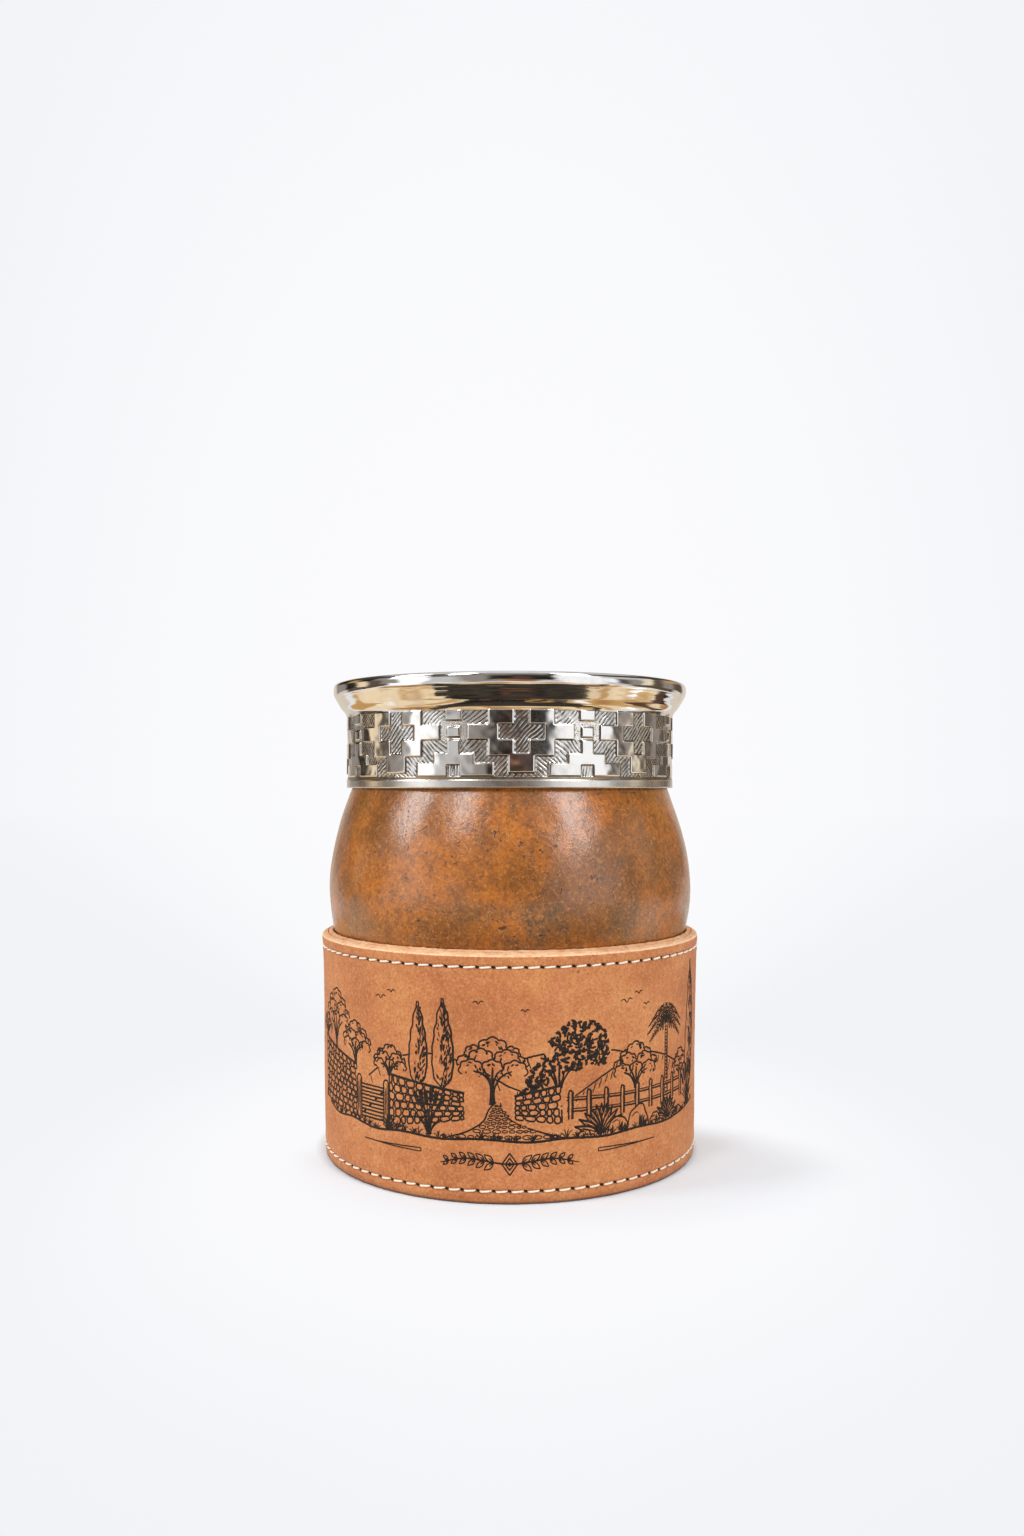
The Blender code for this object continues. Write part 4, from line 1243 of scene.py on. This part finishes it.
def boulder(page, x, z, wide, high):
    """A boulder, hatched on its shaded side."""
    shape = []
    for angle in [pi * i / 8.0 for i in range(9)]:
        across = x + wide / 2.0 * cos(angle) * page.between(0.9, 1.06)
        shape.append((across, z + high * sin(angle) * page.between(0.86, 1.08)))
    for i in range(int(wide * 1.5)):
        at = x + wide * (0.02 + 0.42 * i / (wide * 1.5))
        reach = high * page.between(0.4, 0.75) * (1.0 - 0.6 * abs(at - x) / (wide / 2.0))
        page.ink([(at, z + 0.1), (at + 0.25, z + reach)], FINE, 0.4)
    crack = ((-0.3, 0.55), (-0.1, 0.7), (0.02, 0.62))
    page.ink([(x + wide * across, z + high * up) for across, up in crack], FINE, 0.3)
    page.ink(shape, LINE, 0.9)
    page.cover(shape)


def leafy_mass(page, outline, count, size):
    """A climbing plant: many dark leaves inside an outline, of sizes in a range."""
    area = Drawing(5)
    area.cover(outline)
    (x0, z0), (x1, z1) = np.min(outline, axis=0), np.max(outline, axis=0)
    while count:
        spot = (page.between(x0, x1), page.between(z0, z1))
        if area.hidden(np.array([spot]))[0]:
            count -= 1
            page.leaf(*spot, page.between(0.0, tau), page.between(*size), page.between(0.45, 0.8) * size[0])
    page.cover(outline)


def hill(page, line, spacing, slant):
    """A far hill: its ridge and fine hatching down its slope."""
    ridge = smooth(line, spacing)
    for x, z in ridge[1::2]:
        if page.between(0.0, 1.0) < 0.75:
            length = page.between(0.8, 2.4)
            page.ink([(x, z - 0.3), (x + slant * length, z - 0.3 - length)], FINE, 0.3)
    page.ink(line, LINE, 0.8)
    page.cover([(line[0][0], GROUND_Z), *ridge, (line[-1][0], GROUND_Z)])


def pebbled_path(page):
    """A pebbled path that winds up from the ground line."""
    angles = np.radians(np.linspace(0, 324, 8))
    for share in [(row / 9.0) ** 0.8 for row in range(9)]:
        z = GROUND_Z + 0.5 + 7.2 * share
        size = 1.0 - 0.8 * share
        x, end = [np.interp(z, *np.array(side).T[::-1]) for side in (PATH_LEFT, PATH_RIGHT)]
        x += size
        while x < end - size:
            wide = page.between(0.9, 1.8) * (0.35 + size)
            reach = wide * 0.42
            pebble = (x + wide / 2.0 + reach * np.cos(angles), z + 0.42 * reach * np.sin(angles))
            page.outline(np.stack(pebble, axis=-1), 0.24)
            x += wide
    page.sides(PATH_LEFT, PATH_RIGHT, LINE, 0.6)


def countryside():
    """The frieze, from the ground line up to the birds."""
    page = Drawing(7)
    page.ink(GROUND, HEAVY, 0.6)
    page.cover([(-60.0, 5.0), *GROUND, (60.0, 5.0)])
    for x in np.linspace(-52.0, 54.0, 60):
        x = x + page.between(-0.7, 0.7)
        if not (-12.0 < x < 10.0 and page.between(0.0, 1.0) < 0.7):
            ground = float(np.interp(x, *np.array(GROUND).T))
            tuft(page, x, ground, page.between(1.0, 2.2), int(page.between(3, 6)))
    for x, wide, high in BOULDERS:
        boulder(page, x, GROUND_Z, wide, high)
    agave(page, 20.2, GROUND_Z + 0.2, 6.4, 11)
    agave(page, 40.2, GROUND_Z + 0.2, 5.0, 9)
    plume_grass(page, -17.6, GROUND_Z + 0.3, 10.5)
    plume_grass(page, 51.0, GROUND_Z + 0.6, 11.0)
    tuft(page, -28.0, GROUND_Z, 3.4, 7, LINE)
    pebbled_path(page)
    gate(page, -37.4, -28.6, GROUND_Z + 0.8, 21.6)
    stone_wall(page, -56.0, -38.2, 29.4, 25.6, 15.2, 14.4, 9)
    stone_wall(page, -27.8, -9.6, 25.2, 22.8, 14.4, 17.4, 6)
    stone_wall(page, 1.0, 11.0, 22.4, 24.4, 17.6, 16.4, 5)
    fence(page, 13.0, 46.5, 17.2, 5.6, 9)
    trunk(page, 10.5, 16.6, 29.0, 1.5, 3.6)
    leafy_mass(page, CLIMBER, 330, (0.9, 1.5))
    round_tree(page, 29.4, 19.0, 33.0, 6.2, 5, 0.7)
    palm(page, 39.6, 17.0, 34.6, 6.6)
    flame_tree(page, 52.4, 16.4, 47.0, 2.9)
    round_tree(page, 46.6, 17.4, 29.6, 4.0, 4, 0.9)
    round_tree(page, -3.6, 20.6, 35.4, 7.4, 5, 0.5)
    flame_tree(page, -20.2, 22.4, 41.4, 2.2)
    flame_tree(page, -14.4, 22.4, 42.4, 2.4)
    round_tree(page, -27.6, 22.0, 32.4, 4.4, 4, 0.9)
    round_tree(page, -47.6, 26.0, 43.0, 6.2, 5, 0.6)
    round_tree(page, -38.6, 23.6, 36.4, 5.2, 5, 0.6)
    round_tree(page, -54.6, 27.0, 35.0, 3.8, 4, 0.8)
    for ridge in HILLS:
        hill(page, *ridge)
    for x, z, size in BIRDS:
        page.ink([(x - size, z + size * 0.25), (x - size * 0.45, z + size * 0.5), (x, z)], FINE, 0.3)
        page.ink([(x, z), (x + size * 0.5, z + size * 0.55), (x + size, z + size * 0.35)], FINE, 0.3)
    return page.strokes


def flourish():
    """Under the frieze: a tapered rule on either side of a leafy sprig with a diamond in its middle."""
    page = Drawing(9)
    share = np.linspace(0.0, 1.0, 9)
    half = 0.5 * np.clip(share - 0.28, 0.0, 1.0) ** 0.8 * 0.95
    for side in (-1.0, 1.0):
        near, far = side * RULE_NEAR, side * RULE_FAR
        for edge in (half, -half):
            page.ink(np.stack((far + (near - far) * share, RULE_Z + edge), axis=-1), 0.26, 0.8, 0.01)
        end = [(near, RULE_Z - 0.36), (near - side * 0.14, RULE_Z), (near, RULE_Z + 0.36)]
        page.ink(end, 0.26, 1.0, 0.0)
    stem = [(-15.0, 8.2), (-9.0, 9.4), (0.0, SPRIG_Z), (9.0, 9.4), (15.0, 8.2)]
    rib = smooth(stem, 0.4)
    page.ink(stem, LINE, 0.5, 0.01)
    for x, z in rib[5:-4:5]:
        if abs(x) < 2.4:
            continue
        size = 3.1 - 0.11 * abs(x)
        for up in (-1.0, 1.0):
            angle = np.arctan2(up * 0.85, 1.0 if x > 0.0 else -1.0)
            tip = (x + size * cos(angle), z + size * sin(angle) * 0.92)
            side = np.array((-sin(angle), cos(angle))) * size * 0.2
            middle = np.array((x + size * 0.5 * cos(angle), z + size * 0.46 * sin(angle)))
            leaf = [(x, z), middle + side, tip, middle - side, (x, z)]
            page.spans(leaf, ((0, 2, 0.28), (2, 4, 0.28)), 0.6, 0.01)
            page.ink([(x, z), ((x + tip[0]) / 2.0, (z + tip[1]) / 2.0)], FINE, 0.4, 0.01)
    for size in (2.3, 1.25):
        half = size * 0.72
        corners = [(0.0, SPRIG_Z + size), (half, SPRIG_Z), (0.0, SPRIG_Z - size), (-half, SPRIG_Z)]
        page.spans(corners + corners[:1], [(i, i + 1, 0.3) for i in range(4)], 1.0, 0.0)
    page.leaf(0.0, SPRIG_Z, pi / 2.0, 1.0, 0.7)
    return page.strokes


def make_ornament():
    """The burnt lines: thin ribbons let into the leather, just proud of its face."""
    strokes = countryside() + flourish()
    counts = [len(path) for path, _ in strokes]
    paths = np.concatenate([path for path, _ in strokes])
    ahead = np.concatenate([np.gradient(path, axis=0) for path, _ in strokes])
    ahead = ahead / np.maximum(np.hypot(*ahead.T), 0.001)[:, None]
    half = np.concatenate([widths for _, widths in strokes])[:, None] / 2.0
    across = ahead[:, ::-1] * (-1.0, 1.0) * half
    proud = np.repeat([PROUD + PROUD_STEP * (i % 5) for i in range(len(strokes))], counts)
    corners = []
    for side, lift in ((1.0, proud), (-1.0, proud), (-1.0, -SUNK), (1.0, -SUNK)):
        along, z = (paths + side * across).T
        turn = along / SLEEVE_TOP_R
        corners.append(place(leather_surface(turn, z) + lift, turn, z))
    faces = []
    start = 0
    for count in counts:
        faces += grid_faces(count, 4, close_columns=True, start=start)
        last = start + 4 * (count - 1)
        faces += [(start, start + 3, start + 2, start + 1), (last, last + 1, last + 2, last + 3)]
        start = last + 4
    char = grained("burnt_line", 0.8, 1500.0, 4.0, 0.7, 0.05, (0.35, (26, 18, 14)), (0.7, (54, 38, 28)))
    make_piece("burnt_frieze", np.stack(corners, axis=1), faces, [char], "sleeve", [])


# Stitching


def thread_sweep(centres, normals, sides, radius, twist, point):
    """A twisted two-strand thread along centres, its section spanned by normals and sides."""
    angle = circle(THREAD_SIDES)
    share = np.linspace(0.0, 1.0, len(centres))
    ends = np.clip(np.minimum(share, 1.0 - share) / point, 0.0, 1.0)
    width = radius * (0.3 + 0.7 * np.sqrt(ends))
    strand = 0.74 + 0.26 * np.abs(np.cos(angle + twist * share[:, None]))
    section = np.cos(angle)[:, None] * normals[:, None] + np.sin(angle)[:, None] * sides[:, None]
    return centres[:, None] + (width[:, None] * strand)[..., None] * section


def tube_faces(rows, around, start):
    """Faces of one tube with both ends closed."""
    first = range(start, start + around)
    last = range(start + (rows - 1) * around, start + rows * around)
    return grid_faces(rows, around, close_columns=True, start=start) + [tuple(first)[::-1], tuple(last)]


def make_stitches(name, node, carry, half_length, lean=0.0, bow=0.0):
    """A row of separate stitches; carry gives point, outward and upward at a turn."""
    draw = np.random.default_rng(61)
    share = np.linspace(-1.0, 1.0, 26)
    points = []
    faces = []
    for turn in (np.arange(STITCHES) + 0.5) / STITCHES * tau - pi + STITCH_TURN / 2.0:
        wobble = draw.uniform(-STITCH_WOBBLE, STITCH_WOBBLE, 3)
        along = share * (half_length + wobble[0])
        rise = STITCH_RISE - 0.5 * np.abs(share) ** 6
        up = lean * along + bow * (share ** 2 - 0.4) + wobble[1]
        tube = thread_sweep(*carry(turn, along, rise, up), STITCH_R, 15.0 + wobble[2], 0.2)
        rows, around = tube.shape[:2]
        faces += tube_faces(rows, around, len(points) * rows * around)
        points.append(tube)
    make_piece(name, np.concatenate(points), faces, [waxed_thread(name + "_wax", (254, 244, 224))],
               "sleeve", [node])


def wall_carry(face, height, sign):
    """A carrier for stitches on a wall of a radius, facing outward (1) or inward (-1)."""
    def carry(turn, along, rise, up):
        turns = turn + along / face
        outward = place(np.full_like(turns, sign), turns, 0.0)
        upward = np.tile((0.0, 0.0, 1.0), (len(turns), 1)) * sign
        return place(face + sign * rise, turns, height + up), outward, upward
    return carry


def base_carry(turn, along, rise, up):
    """A carrier for stitches on the upper face of the sole."""
    turns = turn + along / BASE_RING_R
    outward = np.tile((0.0, 0.0, 1.0), (len(turns), 1))
    inward = place(np.full_like(turns, -1.0), turns, 0.0)
    return place(BASE_RING_R + up, turns, SOLE + rise), outward, inward


def make_all_stitches():
    """Needle thread outside, under thread inside, for the upper and the lower row."""
    top = wall_carry(float(sleeve_radius(TOP_ROW_Z)) - STITCH_SEAT, TOP_ROW_Z, 1.0)
    inside = wall_carry(float(lining_radius(TOP_ROW_Z)) - LINING + STITCH_SEAT, TOP_ROW_Z, -1.0)
    foot = wall_carry(float(sleeve_radius(FOOT_ROW_Z)) - STITCH_SEAT, FOOT_ROW_Z, 1.0)
    make_stitches("stitches_top", "thread_top_outer", top, STITCH_HALF, STITCH_LEAN)
    make_stitches("stitches_top_inside", "thread_top_inner", inside, UNDER_HALF)
    make_stitches("stitches_foot", "thread_foot_outer", foot, STITCH_HALF, STITCH_LEAN, FOOT_BOW)
    make_stitches("stitches_base", "thread_base", base_carry, UNDER_HALF)


def make_lacing():
    """The heavier thread that laces the seam, from its lowest hole to its highest."""
    way = []
    for x, z in LACING:
        side = 1.0 if x > 0.0 else -1.0
        over = float(sleeve_radius(z)) - SKIVE + LACING_R + 0.15
        under = sqrt((float(lining_radius(z)) - LINING) ** 2 - x * x) - LACING_R - 0.2
        climb = [(x - side * 0.5, under, z), (x, under + LACING_BEND, z), (x, over - LACING_BEND, z),
                 (x - side * 0.45, over, z)]
        way += climb if side < 0 else climb[::-1]
    path = rounded(way, 3)
    ahead = np.gradient(path, axis=0)
    ahead /= np.linalg.norm(ahead, axis=1, keepdims=True)
    normals = []
    carried = np.array((0.0, 0.0, 1.0))
    for direction in ahead:
        carried = carried - direction * np.dot(carried, direction)
        carried /= np.linalg.norm(carried)
        normals.append(carried.copy())
    normals = np.array(normals)
    tube = thread_sweep(path, normals, np.cross(ahead, normals), LACING_R, 12.0 * LACING_HOLES, 0.01)
    make_piece("lacing", tube, tube_faces(*tube.shape[:2], 0), [waxed_thread("lacing_wax", (238, 222, 196))],
               "sleeve", ["seam_lacing"])


# Stage

# Colours of the glowing cards that polished surfaces mirror: painted reflections
DARK = (34, 29, 25)
DIM = (92, 80, 68)
GREY = (150, 142, 134)
COPPER = (158, 108, 78)
UMBER = (84, 64, 56)
SILVER = (204, 202, 200)
GOLD = (206, 160, 100)
CREAM = (252, 228, 192)
IVORY = (244, 228, 202)
DUSK = (70, 63, 56)
HAZE = (112, 106, 100)
LINEN = (224, 212, 198)
WHITE = (1.3, 1.3, 1.3, 1.0)
PEARL = (1.08, 1.08, 1.08, 1.0)

# Glowing studio cards that only polished surfaces see: painted reflections. Each tier has a foot and a top
# (radius, height), and going round from the back, the turn where each card ends and its colour; None is
# mottled
TIERS = (
    ((330.0, 0.6), (1300.0, 0.6), (
        (-126, LINEN), (-82, None), (-56, WHITE), (-26, SILVER), (-5, GREY), (16, COPPER), (30, SILVER),
        (60, PEARL), (82, SILVER), (126, None), (180, LINEN))),
    ((1300.0, 0.6), (1300.0, 300.0), (
        (-150, LINEN), (-128, GREY), (-112, DARK), (-100, CREAM), (-88, DIM), (-72, GREY), (-52, WHITE),
        (-30, SILVER), (-15, GREY), (2, DARK), (12, UMBER), (27, DARK), (70, PEARL), (80, DIM), (90, GREY),
        (100, IVORY), (112, DIM), (126, GREY), (146, DIM), (180, LINEN))),
    ((1300.0, 300.0), (1300.0, 620.0), (
        (-150, LINEN), (-126, DARK), (-112, GOLD), (-95, DARK), (-80, GREY), (-52, WHITE), (-34, HAZE),
        (-14, GREY), (2, HAZE), (27, DUSK), (58, PEARL), (95, SILVER), (104, CREAM), (117, DIM),
        (134, GOLD), (150, GREY), (180, LINEN))),
    ((1300.0, 620.0), (1050.0, 1100.0), (
        (-150, GREY), (-60, DUSK), (-20, DUSK), (24, GREY), (60, DUSK), (150, DUSK), (180, GREY))),
    ((1050.0, 1100.0), (420.0, 1500.0), ((180, SILVER),)))
CARD_FADE = 4.0
TIER_FADE = 0.1
CARD_LIFT = 0.6
STREAK_LIFT = 1.0
PATCH_LIFT = 1.4


def card_finish(name, grain=None, *stops):
    """A glowing finish for a card of painted reflection: its one stop's colour, or broken streaks of
    several.
    """
    finish = Finish(name, 1.0)
    if grain is None:
        return finish.show(finish.glow(*stops))
    streaks = finish.noise(1.0, 4.0, 0.55, 0.6, finish.stretched(*grain, 1.0))
    return finish.show(finish.glow(finish.ramp(streaks, *stops)))


def stage_mesh(name, mesh):
    """Put a mesh on the stage so that only polished surfaces see it."""
    item = new_object(name, mesh)
    for ray in ("camera", "diffuse", "transmission", "volume_scatter", "shadow"):
        setattr(item, "visible_" + ray, False)


def card_colours(cards, turns):
    """Colour of a tier's cards at each turn, every card running softly into the next."""
    colours = [(*linear(colour or DIM)[:3], 1.0 if colour else 0.0) for _, colour in cards]
    found = np.tile(colours[0], (len(turns), 1))
    for (end, _), colour in zip(cards, colours[1:]):
        share = np.clip((turns - end) / CARD_FADE + 0.5, 0.0, 1.0)[:, None]
        found = found * (1.0 - share) + np.array(colour) * share
    return found


def make_walls():
    """Dark and pale glowing cards all round and overhead: painted reflections, which give polished metal its
    contrast.
    """
    turns = np.arange(-180.0, 180.1, 1.0)
    draw = np.random.default_rng(72)
    points = []
    colours = []
    for foot, top, cards in TIERS:
        for share in np.linspace(TIER_FADE, 1.0 - TIER_FADE, 5):
            radius, height = np.array(foot) * (1.0 - share) + np.array(top) * share
            points.append(place(radius, np.radians(turns), height))
            colours.append(card_colours(cards, turns + draw.uniform(-1.6, 1.6)))
    finish = Finish("painted_reflection_walls", 1.0)
    card = finish.add("Attribute", attribute_name="glow").outputs
    spots = finish.noise(1.0, 4.0, 0.55, 0.6, finish.stretched(24.0, 24.0, 1.0))
    mottled = finish.ramp(spots, (0.4, DARK), (0.5, DIM), (0.56, DARK), (0.62, GOLD), (0.7, DIM))
    wall = finish.show(finish.glow(finish.mix(card["Alpha"], mottled, card["Color"])))
    mesh = new_mesh("painted_reflection_walls", points, grid_faces(len(points), len(turns)), [wall])
    glow = mesh.attributes.new("glow", "FLOAT_COLOR", "POINT")
    glow.data.foreach_set("color", np.array(colours, dtype=np.float32).ravel())
    stage_mesh("painted_reflection_walls", mesh)


# Glowing cards on the floor, placed by what the flare mirrors, as painted reflections and glints: turn on
# the flare in degrees, and how far before it the floor lies there. First the two sides of the dark card,
# then patches of other colours over it and beside it, as first and last turn, near and far, and colour
FLARE_R = 40.0
VIEW = 290.0
DARK_LEFT = ((-25.0, 10.0), (-27.0, 27.0), (-27.0, 60.0), (-26.0, 120.0), (-27.0, 330.0))
DARK_RIGHT = ((29.0, 10.0), (30.0, 27.0), (31.0, 60.0), (30.0, 120.0), (31.0, 330.0))
PATCHES = ((11, 25, 16, 19, GOLD), (12, 26, 26, 32, GOLD), (17, 22, 180, 250, CREAM),
           (24, 29, 180, 250, GOLD), (-22, -14, 17, 19, COPPER), (33, 36, 14, 300, GOLD),
           (36.5, 40, 18, 60, WHITE), (44, 48, 150, 320, WHITE), (50, 53, 20, 130, GOLD),
           (56, 61, 40, 320, UMBER), (-38, -31, 20, 90, GOLD), (-68, -60, 20, 300, GOLD))
# A card beside the mate, and the inner and outer radius of the one round its foot
SIDE_CARD = ((190.0, 110.0), (262.0, 128.0), (268.0, 232.0), (214.0, 196.0))
NEAR_CARD = (49.0, 335.0)


def mirrored(turn, away, lift):
    """The place over the floor that the flare mirrors at a turn, so far before it."""
    turn = radians(turn)
    ahead = 2.0 * turn + atan2(FLARE_R * sin(turn), VIEW - FLARE_R * cos(turn))
    return (FLARE_R * sin(turn) + away * sin(ahead), -FLARE_R * cos(turn) - away * cos(ahead), lift)


def make_floor_cards():
    """Glowing cards laid before and beside the mate, painted reflections and glints: the flare and the bead
    of the rim mirror them.
    """
    draw = np.random.default_rng(71)

    def jagged(line):
        points = []
        for (turn0, away0), (turn1, away1) in zip(line, line[1:]):
            for share in np.arange(7) / 7.0:
                turn = turn0 + (turn1 - turn0) * share + draw.uniform(-3.2, 3.2)
                points.append(mirrored(turn, away0 * (away1 / away0) ** share, STREAK_LIFT))
        return points + [mirrored(*line[-1], STREAK_LIFT)]

    around = np.arange(49) / 48 * tau
    inner, outer = NEAR_CARD
    ring = [(outer * sin(t), -outer * cos(t), CARD_LIFT) for t in around]
    ring += [(inner * sin(t), -inner * cos(t), CARD_LIFT) for t in around[::-1]]
    front = jagged(DARK_LEFT) + jagged(DARK_RIGHT)[::-1]
    outlines = [ring, front, [(*corner, STREAK_LIFT) for corner in SIDE_CARD]]
    finishes = [card_finish("painted_reflection_facets", (6.0, 6.0), (0.34, COPPER), (0.42, GOLD), (0.5, CREAM),
                            (0.62, CREAM), (0.7, WHITE)),
                card_finish("painted_reflection_streaks", (5.0, 30.0), (0.42, DARK), (0.54, DUSK), (0.6, DARK),
                            (0.66, COPPER), (0.7, DIM), (0.76, GOLD))]
    for i, (first, last, near, far, colour) in enumerate(PATCHES):
        aways = np.geomspace(near, far, 7)
        edge = [mirrored(first + draw.uniform(-0.8, 0.8), away, PATCH_LIFT) for away in aways]
        edge += [mirrored(last + draw.uniform(-0.8, 0.8), away, PATCH_LIFT) for away in aways[::-1]]
        outlines.append(edge)
        finishes.append(card_finish(f"painted_reflection_patch_{i}", None, colour))
    ends = np.cumsum([len(outline) for outline in outlines]).tolist()
    faces = [tuple(range(end - len(outline), end)) for end, outline in zip(ends, outlines)]
    looks = [0, 1, *range(1, len(finishes))]
    stage_mesh("painted_reflection_cards", new_mesh("painted_reflection_cards", np.concatenate(outlines), faces, finishes, looks))


FLOOR_REACH = 3000.0
# The floor fades into the backdrop between two distances, sooner to the left and right
FLOOR_WIDENING = (1.4, 1.0, 1.0)
FLOOR_FADE = (0.08, 0.17)
# Shading fades to plain glow between two distances from the shadow's middle, sooner in front and
# behind; under the foot the floor is all shading
SHADOW_CENTRE = (0.013, -0.02, 0.0)
SHADOW_NARROWING = (1.0, 1.6, 1.0)
SHADOW_FADE = (0.044, 0.07, 0.2, 1.0)
FOOT_FADE = (0.0442, 0.0475)


def make_floor():
    """A pale floor that fades into the backdrop, and keeps the mate's shadow close to its foot."""
    finish = Finish("floor_paper", 1.0, Specular_IOR_Level=0.0, Base_Color=(0.89, 0.945, 1.0, 1.0))

    def away(places):
        return finish.vector("LENGTH", places, output="Value")

    far = finish.between(away(finish.vector("MULTIPLY", finish.place, FLOOR_WIDENING)), *FLOOR_FADE)
    paper = finish.mix(far, (250, 250, 252), finish.backdrop())
    offset = finish.vector("SUBTRACT", finish.place, SHADOW_CENTRE)
    fade = finish.between(away(finish.vector("MULTIPLY", offset, SHADOW_NARROWING)), *SHADOW_FADE)
    fade = finish.math("MINIMUM", fade, finish.between(away(finish.place), *FOOT_FADE))
    finish.show(finish.blend(fade, finish.shader.outputs[0], finish.glow(paper)))
    corners = [(x * FLOOR_REACH, y * FLOOR_REACH, 0.0) for x, y in ((-1, -1), (1, -1), (1, 1), (-1, 1))]
    floor = new_object("floor", new_mesh("floor", corners, [(0, 1, 2, 3)], [finish.material]))


def make_world():
    """White light all round; the camera, metal and glass see the backdrop's colour instead."""
    world = bpy.data.worlds.new("studio")
    bpy.context.scene.world = world
    world.use_nodes = True
    nodes = Nodes(world.node_tree, "Generated")
    rays = nodes.add("LightPath").outputs
    seen = nodes.math("MAXIMUM", rays["Is Camera Ray"], rays["Is Glossy Ray"])
    seen = nodes.math("MAXIMUM", seen, rays["Is Transmission Ray"])
    light = nodes.add("Background", {"Color": (1.0, 1.0, 1.0, 1.0), "Strength": 0.6}).outputs["Background"]
    paper = nodes.add("Background", {"Color": nodes.backdrop(), "Strength": 1.0}).outputs["Background"]
    nodes.feed(world.node_tree.nodes["World Output"].inputs["Surface"], nodes.blend(seen, light, paper))


# Soft area lights: turn and elevation in degrees, width and height in metres, and power
LAMPS = {"key_left": (-33.0, 40.0, 0.14, 0.32, 1.1), "fill_left": (-72.0, 36.0, 0.18, 0.42, 1.65),
         "key_right": (43.0, 38.0, 0.22, 0.44, 1.9)}
LAMP_AWAY = 0.8
LAMP_AIM = (0.0, 0.0, 0.06)


def make_lights():
    """Soft area lights in front, facing the mate."""
    for name, (turn, elevation, width, height, power) in LAMPS.items():
        lamp = bpy.data.lights.new(name, "AREA")
        lamp.shape = "RECTANGLE"
        lamp.size = width
        lamp.size_y = height
        lamp.energy = power
        item = new_object(name, lamp)
        turn, elevation = radians(turn), radians(elevation)
        item.location = (LAMP_AWAY * cos(elevation) * sin(turn), -LAMP_AWAY * cos(elevation) * cos(turn),
                         LAMP_AIM[2] + LAMP_AWAY * sin(elevation))
        facing = Vector(LAMP_AIM) - item.location
        item.rotation_euler = facing.to_track_quat("-Z", "Y").to_euler()


# The camera's distance and height in metres
CAMERA_AWAY = 0.29
CAMERA_HEIGHT = 0.0864


def make_camera():
    """A level camera, just over the foot of the band."""
    camera = bpy.data.cameras.new("camera")
    camera.sensor_fit = "VERTICAL"
    camera.sensor_height = 36.0
    camera.lens = 28.0
    camera.shift_x = 0.0015
    camera.shift_y = 0.0114
    camera.clip_start = 0.01
    item = new_object("camera", camera)
    item.location = (0.0, -CAMERA_AWAY, CAMERA_HEIGHT)
    item.rotation_euler = (pi / 2.0, 0.0, 0.0)
    bpy.context.scene.camera = item


def dress_kept_nodes():
    """Finishes for the nodes whose own shape stays."""
    sole = matted("sole_leather", (176, 126, 88), (140, 96, 64), 0.8)
    resin = matted("bedding_resin", (92, 74, 56), (58, 44, 34), 0.6)
    for node, finish in (("base_sole", sole), ("neck_bedding", resin)):
        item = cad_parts[node]
        item.data.materials.clear()
        item.data.materials.append(finish)


make_camera()
make_floor()
make_world()
make_walls()
make_floor_cards()
make_lights()
make_gourd()
make_rim()
make_band()
make_outer_leather()
make_lining()
make_ornament()
make_pad()
make_all_stitches()
make_lacing()
dress_kept_nodes()

bpy.context.scene.view_settings.view_transform = "Standard"
